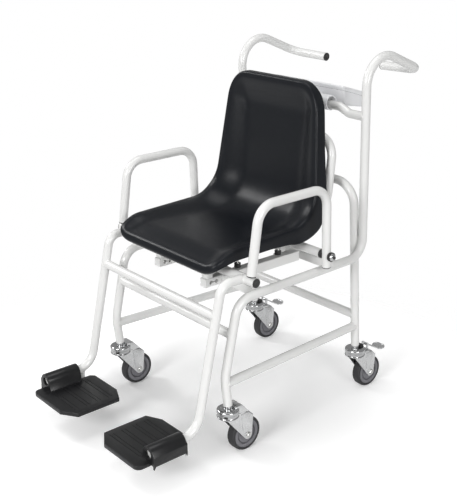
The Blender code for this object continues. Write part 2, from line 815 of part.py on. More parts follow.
def build_hangers():
    """The two bent tubes that carry the footplates, and the tube between them."""
    for side in (LEFT, RIGHT):
        tube = swept(hanger_path(side), TUBE_RADIUS, bores=("end",))
        foot = (side * HANGER_X, PEG_Y, 0)
        peg = rod((0, 0, 1), foot, PEG_RADIUS, PEG_FOOT_Z, HANGER_LOW_Z, TUBE_SIDES)
        hanger = combined(tube, [peg], [support_cutter(True)])
        add_piece(f"footrest_hanger_{SIDE_NAMES[side]}", hanger, WHITE_PAINT)
    y = hanger_y(HANGER_CROSS_Z)
    radius = TUBE_RADIUS + GAP
    cutters = [swept(hanger_path(side), radius, sides=COPE_SIDES) for side in (LEFT, RIGHT)]
    cross = straight_tube((-HANGER_X, y, HANGER_CROSS_Z), (HANGER_X, y, HANGER_CROSS_Z), cutters)
    add_piece("hanger_cross_tube", cross, WHITE_PAINT)


def build_armrests():
    """Each armrest is one bent tube that swings up about the rear support tube."""
    flat = [
        (ARM_FRONT_FOOT_Y, ARM_FRONT_FOOT_Z),
        (ARM_FRONT_TOP_Y, ARM_FRONT_TOP_Z),
        (ARM_REAR_TOP_Y, ARM_REAR_TOP_Z),
        (ARM_REAR_FOOT_Y, ARM_REAR_FOOT_Z),
    ]
    for side in (LEFT, RIGHT):
        label = SIDE_NAMES[side]
        pivot = (side * ARM_X, SUPPORT_REAR_Y, SUPPORT_REAR_Z)
        path = filleted([(side * ARM_X, y, z) for y, z in flat], [ARM_FRONT_BEND, ARM_REAR_BEND])
        tube = swept(path, TUBE_RADIUS, bores=("start", "end"))
        reach = TUBE_RADIUS * 2
        hole = rod((1, 0, 0), pivot, BOLT_HOLE_RADIUS, -reach, reach, TUBE_SIDES)
        add_piece(f"armrest_{label}", combined(tube, cuts=[hole]), WHITE_PAINT, pivot)
        add_plug(f"armrest_plug_front_{label}", path[0], path[0] - path[1], BLACK_PLASTIC)
        add_plug(f"armrest_plug_rear_{label}", path[-1], path[-1] - path[-2], BLACK_PLASTIC)
        add_armrest_knob(side)


def add_armrest_knob(side):
    """The pivot bolt with its hand knob, drawn from the bolt's end outwards."""
    seat = ARM_X + TUBE_RADIUS + GAP
    rim = seat + KNOB_LENGTH
    head = rim + BOLT_HEAD_LENGTH
    profile = [
        (0, SUPPORT_REAR_X - BOLT_REACH),
        (BOLT_RADIUS, SUPPORT_REAR_X - BOLT_REACH),
        (BOLT_RADIUS, seat),
        (KNOB_RADIUS, seat),
        (KNOB_RADIUS, rim - KNOB_ROUND),
        (KNOB_RADIUS - KNOB_ROUND, rim),
        (BOLT_HEAD_RADIUS, rim),
        (BOLT_HEAD_RADIUS, head),
        (BOLT_TIP_RADIUS, head),
        (BOLT_TIP_RADIUS, head + BOLT_TIP_LENGTH),
        (0, head + BOLT_TIP_LENGTH),
    ]
    axis_point = (0, SUPPORT_REAR_Y, SUPPORT_REAR_Z)
    knob = turned(profile, (side, 0, 0), axis_point, TUBE_SIDES)
    origin = (side * seat, SUPPORT_REAR_Y, SUPPORT_REAR_Z)
    add_piece(f"armrest_knob_{SIDE_NAMES[side]}", knob, BLACK_PLASTIC, origin)


class SeatShape:
    """The seat shell's surface over an unrolled plane of length along and x across."""

    def __init__(self):
        corners = [
            (0, SEAT_LIP_Y, SEAT_LIP_Z),
            (0, SEAT_FRONT_Y, SEAT_FRONT_Z),
            (0, SEAT_CREASE_Y, SEAT_CREASE_Z),
            (0, SEAT_TOP_Y, SEAT_TOP_Z),
        ]
        bends = [SEAT_FRONT_BEND, SEAT_CREASE_BEND]
        self.line = filleted(corners, bends, bend_step=SEAT_BEND_STEP)
        self.stops = [0.0]
        for first, second in zip(self.line, self.line[1:]):
            self.stops.append(self.stops[-1] + (second - first).length)
        self.length = self.stops[-1]
        self.crease = self.nearest(Vector((0, SEAT_CREASE_Y, SEAT_CREASE_Z)))

    def nearest(self, place):
        """How far along the middle line is nearest to a place."""
        gaps = [(point - place).length for point in self.line]
        return self.stops[gaps.index(min(gaps))]

    def middle(self, along):
        """The place on the middle line, which runs straight on past its ends."""
        index = 0
        while index < len(self.line) - 2 and self.stops[index + 1] < along:
            index += 1
        share = (along - self.stops[index]) / (self.stops[index + 1] - self.stops[index])
        return self.line[index] + (self.line[index + 1] - self.line[index]) * share

    def normal(self, along):
        """The way that the seat's upper face looks."""
        way = self.middle(along + SEAT_WALL) - self.middle(along - SEAT_WALL)
        return Vector((0, -way.z, way.y)).normalized()

    def width_share(self, along):
        """How wide the shell is, as a share of the pan's width."""
        past = max(0, along - self.crease) / (self.length - self.crease)
        return 1 - past * (1 - TOP_HALF_WIDTH / PAN_HALF_WIDTH)

    def place(self, along, across, height):
        spot = self.middle(along) + self.normal(along) * height
        return Vector((across * self.width_share(along), spot.y, spot.z))

    def skirt(self, along):
        """How far the skirt hangs below the middle line."""
        near_bend = SEAT_CREASE_BEND / 2
        knots = [
            (0, SKIRT_FRONT),
            (self.crease / 2, SKIRT_PAN),
            (self.crease - near_bend, SKIRT_BEND_START),
            (self.crease, SKIRT_CREASE),
            (self.crease + near_bend, SKIRT_BEND_END),
            ((self.crease + self.length) / 2, SKIRT_BACK),
            (self.length, SKIRT_TOP),
        ]
        along = min(max(along, 0), self.length)
        for (low, first), (high, second) in zip(knots, knots[1:]):
            if along <= high:
                return first + (second - first) * (along - low) / (high - low)
        return SKIRT_TOP

    def bowl(self, along, across):
        """The upper face's height, which falls from the rim to the middle."""
        edge = SEAT_CORNER
        side_room = PAN_HALF_WIDTH - edge - abs(across)
        end_room = min(along - edge, self.length - edge - along)
        if min(side_room, end_room) > 0:
            inset = edge + min(side_room, end_room)
        else:
            inset = edge - math.hypot(min(side_room, 0), min(end_room, 0))
        share = (inset - RIM_WIDTH / 2) / (BOWL_WIDTH - RIM_WIDTH / 2)
        return RIM_HEIGHT * (1 - smooth(min(max(share, 0), 1)))

    def sides(self, inset):
        """The front, left, top and right sides of a rounded outline inside the edge."""
        radius = SEAT_CORNER - inset
        half = PAN_HALF_WIDTH - SEAT_CORNER
        low, high = SEAT_CORNER, self.length - SEAT_CORNER
        rows = math.ceil((high - low) / SEAT_ROW_STEP)
        along_stops = [low + (high - low) * step / rows for step in range(1, rows)]
        across_stops = [-half + 2 * half * step / SEAT_COLUMNS for step in range(1, SEAT_COLUMNS)]
        quarter = math.pi / 4

        def arc(centre, start):
            turns = [start - quarter * step / CORNER_STEPS for step in range(CORNER_STEPS + 1)]
            return [
                (centre[0] + radius * math.cos(t), centre[1] + radius * math.sin(t)) for t in turns
            ]

        front = arc((low, -half), 5 * quarter)
        front += [(low - radius, across) for across in across_stops]
        front += arc((low, half), 4 * quarter)
        left = arc((low, half), 3 * quarter)
        left += [(along, half + radius) for along in along_stops]
        left += arc((high, half), 2 * quarter)
        top = arc((high, half), quarter)
        top += [(high + radius, across) for across in reversed(across_stops)]
        top += arc((high, -half), 0)
        right = arc((high, -half), -quarter)
        right += [(along, -half - radius) for along in reversed(along_stops)]
        right += arc((low, -half), -2 * quarter)
        return front, left, top, right


def smooth(share):
    """Ease a share from nought to one in and out."""
    return share * share * (3 - 2 * share)


def seat_ring(bm, shape, inset, height_of):
    """Add one closed row of vertices round the shell."""
    ring = []
    for run in shape.sides(inset):
        for along, across in run[:-1]:
            ring.append(bm.verts.new(shape.place(along, across, height_of(along, across))))
    return ring


def joined_rings(bm, first, second):
    count = len(first)
    for index in range(count):
        after = (index + 1) % count
        bm.faces.new((first[index], first[after], second[after], second[index]))


def seat_grid(bm, shape, ring, drop):
    """Fill the middle of the shell inside a ring made at GRID_INSET."""
    front, left, top, right = shape.sides(GRID_INSET)
    columns, rows = len(front) - 1, len(left) - 1
    top, right = top[::-1], right[::-1]
    grid = [[None] * (columns + 1) for _ in range(rows + 1)]
    for index, vert in enumerate(ring):
        if index < columns:
            grid[0][index] = vert
        elif index < columns + rows:
            grid[index - columns][columns] = vert
        elif index < 2 * columns + rows:
            grid[rows][2 * columns + rows - index] = vert
        else:
            grid[2 * columns + 2 * rows - index][0] = vert
    for row in range(1, rows):
        for column in range(1, columns):
            u, v = column / columns, row / rows
            spot = []
            for part in (0, 1):
                edges = (1 - v) * front[column][part] + v * top[column][part]
                edges += (1 - u) * right[row][part] + u * left[row][part]
                corners = (1 - u) * (1 - v) * front[0][part] + u * (1 - v) * front[-1][part]
                corners += (1 - u) * v * top[0][part] + u * v * top[-1][part]
                spot.append(edges - corners)
            height = shape.bowl(*spot) - drop
            grid[row][column] = bm.verts.new(shape.place(*spot, height))
    for row in range(rows):
        for column in range(columns):
            bm.faces.new(
                (
                    grid[row][column],
                    grid[row][column + 1],
                    grid[row + 1][column + 1],
                    grid[row + 1][column],
                )
            )


def seat_shell_mesh(shape):
    """The moulded shell: a dished face, a rolled rim and a skirt of one thickness."""
    bm = bmesh.new()
    flare, wall = SKIRT_FLARE, SEAT_WALL
    edge = RIM_HEIGHT - RIM_DROP
    middle_inset = (RIM_WIDTH + GRID_INSET) / 2
    upper = [
        seat_ring(bm, shape, -flare, lambda along, across: -shape.skirt(along)),
        seat_ring(bm, shape, 0, lambda along, across: edge),
        seat_ring(bm, shape, RIM_WIDTH / 6, lambda along, across: RIM_HEIGHT - RIM_DROP / 4),
        seat_ring(bm, shape, RIM_WIDTH / 2, lambda along, across: RIM_HEIGHT),
        seat_ring(bm, shape, middle_inset, shape.bowl),
        seat_ring(bm, shape, GRID_INSET, shape.bowl),
    ]

    def under(along, across):
        return shape.bowl(along, across) - wall

    lower = [
        seat_ring(bm, shape, wall - flare, lambda along, across: -shape.skirt(along)),
        seat_ring(bm, shape, wall, lambda along, across: edge - wall / 3),
        seat_ring(bm, shape, wall + RIM_WIDTH / 3, lambda along, across: RIM_HEIGHT - wall),
        seat_ring(bm, shape, middle_inset, under),
        seat_ring(bm, shape, GRID_INSET, under),
    ]
    for rings in (upper, lower):
        for first, second in zip(rings, rings[1:]):
            joined_rings(bm, first, second)
    joined_rings(bm, upper[0], lower[0])
    seat_grid(bm, shape, upper[-1], 0)
    seat_grid(bm, shape, lower[-1], wall)
    return mesh_from(bm, "seat_shell")


def build_seat():
    shape = SeatShape()
    bosses, holes = [], []
    rail_top = SEAT_RAIL_Z + SEAT_RAIL_SIZE / 2
    for end, y in (("front", BUFFER_FRONT_Y), ("rear", BUFFER_REAR_Y)):
        for side in (LEFT, RIGHT):
            top = seat_under_z(shape, y, side * BUFFER_X)
            foot = (side * BUFFER_X, y, 0)
            bosses.append(rod((0, 0, 1), foot, BOSS_RADIUS, BOSS_FOOT_Z, top, TUBE_SIDES))
            hole_top = BOSS_FOOT_Z + BOSS_HOLE_DEPTH
            holes.append(
                rod((0, 0, 1), foot, BOSS_HOLE_RADIUS, rail_top, hole_top, TUBE_SIDES)
            )
            profile = [
                (0, rail_top + GAP),
                (BUFFER_RADIUS - BUFFER_ROUND, rail_top + GAP),
                (BUFFER_RADIUS, rail_top + GAP + BUFFER_ROUND),
                (BUFFER_RADIUS, BOSS_FOOT_Z - GAP - BUFFER_ROUND),
                (BUFFER_RADIUS - BUFFER_ROUND, BOSS_FOOT_Z - GAP),
                (STUD_RADIUS, BOSS_FOOT_Z - GAP),
                (STUD_RADIUS, BOSS_FOOT_Z + STUD_LENGTH),
                (0, BOSS_FOOT_Z + STUD_LENGTH),
            ]
            buffer = turned(profile, (0, 0, 1), foot, TUBE_SIDES)
            add_piece(f"seat_buffer_{end}_{SIDE_NAMES[side]}", buffer, BLACK_RUBBER)
    shell = combined(seat_shell_mesh(shape), bosses, holes)
    add_piece("seat_shell", shell, BLACK_SHELL)


def seat_under_z(shape, y, x):
    """A height inside the pan's wall over a place on the seat rails."""
    low, high = SEAT_CORNER, shape.crease
    while high - low > GAP:
        middle = (low + high) / 2
        if shape.middle(middle).y < y:
            low = middle
        else:
            high = middle
    return shape.place(low, x, shape.bowl(low, x) - SEAT_WALL / 2).z


def plate_outline():
    """The left footplate seen from above."""
    outline = [
        (PLATE_INNER_X, PLATE_REAR_Y - PLATE_CHAMFER_REAR),
        (PLATE_INNER_X, PLATE_FRONT_Y + PLATE_CHAMFER_FRONT),
        (PLATE_INNER_X + PLATE_CHAMFER_X, PLATE_FRONT_Y),
    ]
    centre_x = PLATE_OUTER_X - PLATE_OUTER_ROUND
    centre_y = PLATE_FRONT_Y + PLATE_OUTER_ROUND
    for step in range(PLATE_ROUND_STEPS + 1):
        turn = math.pi / 2 * step / PLATE_ROUND_STEPS
        x = centre_x + PLATE_OUTER_ROUND * math.sin(turn)
        outline.append((x, centre_y - PLATE_OUTER_ROUND * math.cos(turn)))
    return outline + [
        (PLATE_OUTER_X, HUB_REAR_Y),
        (PLATE_REAR_OUTER_X, HUB_REAR_Y),
        (PLATE_REAR_OUTER_X, PLATE_REAR_Y - PLATE_OUTER_REAR_ROUND),
        (PLATE_REAR_OUTER_X - PLATE_OUTER_REAR_ROUND, PLATE_REAR_Y),
        (PLATE_INNER_X + PLATE_CHAMFER_X, PLATE_REAR_Y),
    ]


def hub_outline():
    """The left footplate's hood seen from the front, as (x, z) places."""
    wall_x = HANGER_X + HUB_WALL_X
    foot_z = PLATE_TOP_Z - PLATE_THICKNESS / 2
    outline = [(HANGER_X - HUB_FILLET_X, foot_z), (wall_x, foot_z), (wall_x, HANGER_LOW_Z)]
    for step in range(HUB_ARC_STEPS + 1):
        turn = HUB_ARC_START + (HUB_ARC_END - HUB_ARC_START) * step / HUB_ARC_STEPS
        x = HANGER_X + HUB_RADIUS * math.cos(turn)
        outline.append((x, HANGER_LOW_Z + HUB_RADIUS * math.sin(turn)))
    low_x = HANGER_X - (HUB_RADIUS + HUB_FILLET_X) / 2
    outline.append((low_x, (PLATE_TOP_Z + HANGER_LOW_Z) / 2 - PLATE_THICKNESS / 4))
    outline.append((HANGER_X - HUB_FILLET_X, PLATE_TOP_Z))
    return outline


def footplate_mesh():
    """The left footplate with its hood, ears and grip grooves."""
    foot = PLATE_TOP_Z - PLATE_THICKNESS
    plate = extruded(plate_outline(), 2, foot, PLATE_TOP_Z)
    hood = extruded(hub_outline(), 1, HUB_FRONT_Y, HUB_REAR_Y)
    ears = []
    wall_x = HANGER_X + HUB_WALL_X
    ear_low = HUB_WALL_FOOT_Z - EAR_DROP
    for end_y, inward in ((HUB_FRONT_Y, EAR_WIDTH), (HUB_REAR_Y, -EAR_WIDTH)):
        outline = [(end_y, PLATE_TOP_Z), (end_y, ear_low), (end_y + inward, PLATE_TOP_Z)]
        ears.append(extruded(outline, 0, wall_x - EAR_THICKNESS, wall_x))
    reach = (HUB_REAR_Y - HUB_FRONT_Y) * 2
    axis_point = (HANGER_X, HUB_REAR_Y, HANGER_LOW_Z)
    bore = rod((0, 1, 0), axis_point, TUBE_RADIUS + HUB_CLEARANCE, -reach, reach)
    cuts = [bore]
    for pair in range(GROOVE_PAIRS):
        for line in range(2):
            y = GROOVE_FIRST_Y - pair * GROOVE_PITCH - line * GROOVE_PAIR_STEP
            low = (GROOVE_INNER_X, y - GROOVE_WIDTH / 2, PLATE_TOP_Z - GROOVE_DEPTH)
            high = (GROOVE_OUTER_X, y + GROOVE_WIDTH / 2, PLATE_TOP_Z + GROOVE_DEPTH)
            if GROOVE_OUTER_X > HANGER_X - HUB_FILLET_X and HUB_FRONT_Y < y < HUB_REAR_Y:
                high = (HANGER_X - HUB_FILLET_X - GROOVE_WIDTH, *high[1:])
            cuts.append(box(low, high))
    return combined(plate, [hood, *ears], cuts)


def build_footplates():
    for side in (LEFT, RIGHT):
        mesh = footplate_mesh()
        if side == RIGHT:
            mesh.transform(Matrix.Scale(-1, 4, (1, 0, 0)))
            mesh.flip_normals()
        origin = (side * HANGER_X, (HUB_FRONT_Y + HUB_REAR_Y) / 2, HANGER_LOW_Z)
        add_piece(f"footplate_{SIDE_NAMES[side]}", mesh, BLACK_SHELL, origin)


def collar_top_z(foot, above):
    """The height of a leaning leg's lowest edge, less the clearance."""
    lean = math.atan2(abs(above[0] - foot[0]), above[1] - foot[1])
    return foot[1] - TUBE_RADIUS * math.sin(lean) - GAP


def crown_mesh(collar_top):
    """The castor's bearing crown, collar and stem, about the swivel axis."""
    profile = [
        (0, RING_FOOT_Z),
        (RING_LOW_RADIUS, RING_FOOT_Z),
        (RING_LOW_RADIUS, RING_SPLIT_Z),
        (RING_RADIUS, RING_SPLIT_Z),
        (RING_RADIUS, RING_TOP_Z - RING_ROUND),
        (RING_RADIUS - RING_ROUND, RING_TOP_Z),
        (COLLAR_RADIUS, RING_TOP_Z),
        (COLLAR_RADIUS, collar_top),
        (STEM_RADIUS, collar_top),
        (STEM_RADIUS, STEM_TOP_Z),
        (0, STEM_TOP_Z),
    ]
    return turned(profile, (0, 0, 1), (0, 0, 0))


def fork_plate_outline():
    """One cheek of the fork seen from the side, as (y, z) places."""
    top = (RING_FOOT_Z + RING_SPLIT_Z) / 2
    outline = [(FORK_FRONT_Y, top)]
    for step in range(FORK_TIP_STEPS + 1):
        turn = FORK_TIP_START + (FORK_TIP_END - FORK_TIP_START) * step / FORK_TIP_STEPS
        y = CASTOR_TRAIL + FORK_TIP_RADIUS * math.cos(turn)
        outline.append((y, WHEEL_RADIUS + FORK_TIP_RADIUS * math.sin(turn)))
    outline.append((FORK_REAR_Y, FORK_REAR_Z))
    outline.append((FORK_KNEE_Y, FORK_KNEE_Z))
    outline.append((RING_LOW_RADIUS / 2, (RING_SPLIT_Z + FORK_KNEE_Z) / 2))
    return outline


def hood_meshes(collar_top, braked):
    """The bridge between the fork's cheeks: a tall hood, or a low one with the brake's block."""
    outer = FORK_HALF_GAP + FORK_SHEET
    sheet = FORK_SHEET
    crest_z = collar_top - HOOD_CLEARANCE
    outline = [
        (FORK_REAR_Y, FORK_REAR_Z),
        (FORK_REAR_Y - sheet / 2, FORK_REAR_Z - sheet / 2),
        (FORK_KNEE_Y - sheet, FORK_KNEE_Z - sheet),
        (RING_LOW_RADIUS / 2, RING_SPLIT_Z - sheet),
    ]
    if braked:
        outline += [(RING_LOW_RADIUS / 2, RING_SPLIT_Z), (FORK_KNEE_Y, FORK_KNEE_Z)]
        low = (-BLOCK_HALF_WIDTH, HOOD_FRONT_Y, RING_SPLIT_Z)
        high = (BLOCK_HALF_WIDTH, HOOD_FRONT_Y + BLOCK_LENGTH, crest_z)
        return [extruded(outline, 0, -outer, outer), box(low, high)]
    outline += [
        (HOOD_FRONT_Y, RING_SPLIT_Z - sheet),
        (HOOD_FRONT_Y, crest_z),
        (HOOD_CREST_Y, crest_z),
        (HOOD_SLOPE_Y, HOOD_SLOPE_Z),
    ]
    return [softened(extruded(outline, 0, -outer, outer), HOOD_ROUND, 1)]


def fork_mesh(collar_top, braked):
    """A fork at the swivel axis, with the axle and, on a braked one, the pedal's ears."""
    outer = FORK_HALF_GAP + FORK_SHEET
    sheet = FORK_SHEET
    joins = hood_meshes(collar_top, braked)
    for side in (LEFT, RIGHT):
        low, high = sorted((side * FORK_HALF_GAP, side * outer))
        joins.append(extruded(fork_plate_outline(), 0, low, high))
    axle_point = (0, CASTOR_TRAIL, WHEEL_RADIUS)
    nut_end = outer + NUT_LENGTH
    joins.append(rod((1, 0, 0), axle_point, AXLE_RADIUS, -outer, outer, TUBE_SIDES))
    for low, high in ((outer - sheet / 2, nut_end), (-nut_end, sheet / 2 - outer)):
        joins.append(rod((1, 0, 0), axle_point, NUT_RADIUS, low, high, NUT_SIDES))
    if braked:
        ear_outer = PEDAL_EAR_HALF_GAP + PEDAL_EAR_SHEET
        for side in (LEFT, RIGHT):
            low_x, high_x = sorted((side * PEDAL_EAR_HALF_GAP, side * ear_outer))
            low = (low_x, PEDAL_HINGE_Y - PEDAL_EAR_HALF, FORK_KNEE_Z)
            high = (high_x, PEDAL_HINGE_Y + PEDAL_EAR_HALF, PEDAL_HINGE_Z + PEDAL_EAR_HALF)
            joins.append(box(low, high))
        pin_point = (0, PEDAL_HINGE_Y, PEDAL_HINGE_Z)
        joins.append(rod((1, 0, 0), pin_point, PEDAL_PIN_RADIUS, -ear_outer, ear_outer, PIN_SIDES))
    return combined(crown_mesh(collar_top), joins)


def wheel_mesh():
    """A wheel about its own middle, with its axle along X."""
    half, face = WHEEL_WIDTH / 2, WHEEL_WIDTH / 2 - FACE_RECESS
    boss = WHEEL_BOSS_WIDTH / 2
    half_profile = [
        (WHEEL_BORE_RADIUS, boss),
        (WHEEL_BOSS_RADIUS, boss),
        (WHEEL_BOSS_RADIUS, face),
        (TYRE_INNER_RADIUS, face),
        (TYRE_INNER_RADIUS, half),
        (WHEEL_RADIUS - WHEEL_SHOULDER, half),
        (WHEEL_RADIUS, half - WHEEL_SHOULDER),
    ]
    other = [(radius, -along) for radius, along in reversed(half_profile)]
    return turned(half_profile + other, (1, 0, 0), (0, 0, 0), WHEEL_SIDES)


def leaf_mesh(shares, length, half_width, slope):
    """A flat plate from the origin to the rear, with a width at each share of its length."""
    left = [(width * half_width, along * length) for along, width in shares]
    right = [(-x, y) for x, y in reversed(left)]
    leaf = extruded(left + right, 2, -PEDAL_THICKNESS / 2, PEDAL_THICKNESS / 2)
    leaf.transform(Matrix.Rotation(slope, 4, "X"))
    return leaf


def pedal_mesh():
    """A brake pedal with its hinge barrel at the origin: an arm down to the rear, and a broad pad."""
    arm = leaf_mesh(PEDAL_ARM_SHARES, PEDAL_ARM_LENGTH, PEDAL_ARM_HALF_WIDTH, PEDAL_ARM_SLOPE)
    pad = leaf_mesh(PEDAL_PAD_SHARES, PEDAL_PAD_LENGTH, PEDAL_PAD_HALF_WIDTH, PEDAL_PAD_SLOPE)
    reach = PEDAL_ARM_LENGTH - PEDAL_THICKNESS / 2
    pad_y, pad_z = reach * math.cos(PEDAL_ARM_SLOPE), reach * math.sin(PEDAL_ARM_SLOPE)
    pad.transform(Matrix.Translation((0, pad_y, pad_z)))
    half = PEDAL_ARM_SHARES[0][1] * PEDAL_ARM_HALF_WIDTH
    barrel = rod((1, 0, 0), (0, 0, 0), PEDAL_BARREL_RADIUS, -half, half, TUBE_SIDES)
    hole = rod((1, 0, 0), (0, 0, 0), PEDAL_PIN_HOLE, -2 * half, 2 * half, TUBE_SIDES)
    return combined(arm, [pad, barrel], [hole])


def build_castors():
    front_top = collar_top_z((LEG_FOOT_Y, LEG_FOOT_Z), (LEG_KINK_Y, LEG_KINK_Z))
    rear_top = collar_top_z((ARCH_FOOT_Y, LEG_FOOT_Z), (ARCH_TOP_Y, ARCH_TOP_Z))
    ends = (
        ("front", FRAME_X, CASTOR_FRONT_Y, front_top, False),
        ("rear", ARCH_X, CASTOR_REAR_Y, rear_top, True),
    )
    for end, middle_x, stem_y, collar_top, braked in ends:
        for side in (LEFT, RIGHT):
            label = f"{end}_{SIDE_NAMES[side]}"
            stem_x = side * middle_x
            stem = (stem_x, stem_y, 0)
            axle = (stem_x, stem_y + CASTOR_TRAIL, WHEEL_RADIUS)
            hinge = (stem_x, stem_y + PEDAL_HINGE_Y, PEDAL_HINGE_Z)
            place_piece(f"castor_fork_{label}", fork_mesh(collar_top, braked), ZINC_PLATE, stem)
            place_piece(f"castor_wheel_{label}", wheel_mesh(), WHEEL_GREY, axle)
            if braked:
                place_piece(f"brake_pedal_{SIDE_NAMES[side]}", pedal_mesh(), ZINC_PLATE, hinge)


def place_piece(name, mesh, finish, place):
    """Add a piece whose mesh was drawn about its own origin."""
    mesh.transform(Matrix.Translation(place))
    return add_piece(name, mesh, finish, place)


def panel_matrix():
    """Where the display's sloping top face lies, with +Z out of it."""
    front = Vector((0, HOUSING_TOP_FRONT_Y, SLEEVE_Z + HOUSING_TOP_FRONT_RISE))
    rear = Vector((0, HOUSING_TOP_REAR_Y, SLEEVE_Z + HOUSING_TOP_REAR_RISE))
    slope = math.atan2(rear.z - front.z, rear.y - front.y)
    return Matrix.Translation((front + rear) / 2) @ Matrix.Rotation(slope, 4, "X")


def panel_box(middle, size, low, high):
    """A box on the panel. Low and high are measured out of the panel's face."""
    half_x, half_y = size[0] / 2, size[1] / 2
    mesh = box(
        (middle[0] - half_x, middle[1] - half_y, low), (middle[0] + half_x, middle[1] + half_y, high)
    )
    mesh.transform(panel_matrix())
    return mesh


def build_display():
    """The display head: sleeve, housing, screen and keys."""
    middle_y = post_y(CROSS_END_Z)
    centre = (0, middle_y, SLEEVE_Z)
    half = SLEEVE_HALF_LENGTH
    profile = [(SLEEVE_BORE, -half), (SLEEVE_RADIUS, -half), (SLEEVE_RADIUS, half), (SLEEVE_BORE, half)]
    sleeve = turned(profile, (1, 0, 0), centre, COPE_SIDES)
    axis_point = (0, middle_y, CROSS_MID_Z)
    add_piece("display_sleeve", sleeve, WHITE_PAINT, axis_point)

    outline = [
        (HOUSING_TOP_FRONT_Y, SLEEVE_Z + HOUSING_TOP_FRONT_RISE),
        (HOUSING_TOP_REAR_Y, SLEEVE_Z + HOUSING_TOP_REAR_RISE),
        (HOUSING_FOOT_REAR_Y, SLEEVE_Z - HOUSING_FOOT_REAR_DROP),
        (HOUSING_FOOT_FRONT_Y, SLEEVE_Z - HOUSING_FOOT_FRONT_DROP),
    ]
    case = extruded(outline, 0, -HOUSING_HALF_WIDTH, HOUSING_HALF_WIDTH)
    case = softened(case, HOUSING_ROUND, HOUSING_SEGMENTS)
    low = (-SADDLE_HALF_WIDTH, middle_y, SLEEVE_Z - SADDLE_HALF_HEIGHT)
    high_y = HOUSING_FOOT_FRONT_Y + SADDLE_REACH
    saddle = box(low, (SADDLE_HALF_WIDTH, high_y, SLEEVE_Z + SADDLE_HALF_HEIGHT))
    cuts = [rod((1, 0, 0), centre, SLEEVE_RADIUS + GAP, -2 * half, 2 * half, COPE_SIDES)]
    screen_size = (SCREEN_WIDTH, SCREEN_LENGTH)
    well_size = [length + 2 * PANEL_MARGIN for length in screen_size]
    screen_place = (0, SCREEN_MIDDLE)
    cuts.append(panel_box(screen_place, well_size, -SCREEN_THICKNESS, SCREEN_THICKNESS))
    screen = panel_box(screen_place, screen_size, GAP - SCREEN_THICKNESS, 0)
    screen_centre = panel_matrix() @ Vector((0, SCREEN_MIDDLE, 0))
    add_piece("display_screen", screen, SCREEN_GREEN, screen_centre)
    labels = ("units", "hold", "zero", "on")
    for index, label in enumerate(labels):
        place = ((index - (len(labels) - 1) / 2) * KEY_PITCH, KEY_MIDDLE)
        well_size = (KEY_WIDTH + 2 * PANEL_MARGIN, KEY_LENGTH + 2 * PANEL_MARGIN)
        cuts.append(panel_box(place, well_size, -KEY_WELL, KEY_WELL))
        key = panel_box(place, (KEY_WIDTH, KEY_LENGTH), KEY_PROUD - KEY_HEIGHT, KEY_PROUD)
        key_centre = panel_matrix() @ Vector((*place, 0))
        add_piece(f"display_key_{label}", softened(key, KEY_ROUND, KEY_SEGMENTS), KEY_BLUE, key_centre)
    add_piece("display_housing", combined(case, [saddle], cuts), PALE_PLASTIC, axis_point)


def main():
    clear_scene()
    build_side_frames()
    build_arch()
    build_low_rails()
    build_load_bars()
    build_load_cells()
    build_display_cross_tube()
    build_support_tubes()
    build_seat_rails()
    build_back_loop()
    build_hangers()
    build_armrests()
    build_seat()
    build_footplates()
    build_castors()
    build_display()


main()
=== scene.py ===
"""The looks of a digital chair scale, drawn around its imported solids.

Lengths are metres. The sizes in each class are measured from the floor under the
middle of the four castor stems, and DEPTH_SHIFT moves each finished mesh along Y
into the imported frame, whose origin lies under the middle of the whole chair.
"""

import json
import logging
import math
import sys
from collections.abc import Callable, Iterable, Sequence
from dataclasses import dataclass, field
from enum import Enum

import bmesh
import bpy
from bmesh.types import BMEdge, BMesh, BMVert
from bpy.types import Material, Mesh, Node, NodeSocket, NodeTree, Object
from mathutils import Matrix, Vector

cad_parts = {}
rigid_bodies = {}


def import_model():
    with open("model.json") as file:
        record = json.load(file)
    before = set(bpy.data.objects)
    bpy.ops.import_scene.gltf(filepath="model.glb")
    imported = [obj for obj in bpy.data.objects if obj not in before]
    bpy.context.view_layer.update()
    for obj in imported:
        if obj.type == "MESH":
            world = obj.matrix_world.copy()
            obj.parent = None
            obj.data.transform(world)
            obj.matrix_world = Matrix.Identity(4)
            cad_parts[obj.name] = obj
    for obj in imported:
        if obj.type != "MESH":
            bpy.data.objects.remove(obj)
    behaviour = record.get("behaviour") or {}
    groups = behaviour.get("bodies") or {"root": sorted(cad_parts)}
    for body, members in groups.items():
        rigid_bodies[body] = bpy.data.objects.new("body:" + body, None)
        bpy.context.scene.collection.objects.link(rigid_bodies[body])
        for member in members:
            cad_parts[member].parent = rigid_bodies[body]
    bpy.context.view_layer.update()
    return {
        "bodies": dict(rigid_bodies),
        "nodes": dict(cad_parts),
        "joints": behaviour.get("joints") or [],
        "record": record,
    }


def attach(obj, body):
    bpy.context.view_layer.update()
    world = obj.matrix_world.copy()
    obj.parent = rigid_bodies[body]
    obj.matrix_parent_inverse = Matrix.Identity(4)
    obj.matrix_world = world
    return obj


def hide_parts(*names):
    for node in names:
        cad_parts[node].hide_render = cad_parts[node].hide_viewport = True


LOG = logging.getLogger("chair_scale")

DEPTH_SHIFT = 0.05135
SHARP_ANGLE = math.radians(32)
BEND_STEP = math.radians(5)
WELD_DISTANCE = 1e-5
QUARTER = math.pi / 2
MOUTH_DEPTH_IN_WALLS = 8

Triple = tuple[float, float, float]
Pair = tuple[float, float]

ACROSS: Triple = (1, 0, 0)
UP: Triple = (0, 0, 1)
ORIGIN: Triple = (0, 0, 0)


class Side(Enum):
    """A side of the chair, named as the sitter sees it."""

    LEFT = 1
    RIGHT = -1

    @property
    def label(self) -> str:
        """The word that ends a piece's name on this side."""
        return self.name.lower()

    def across(self, point: Sequence[float]) -> Vector:
        """Returns a point, written for the left side, on this side."""
        return Vector((point[0] * self.value, *point[1:]))


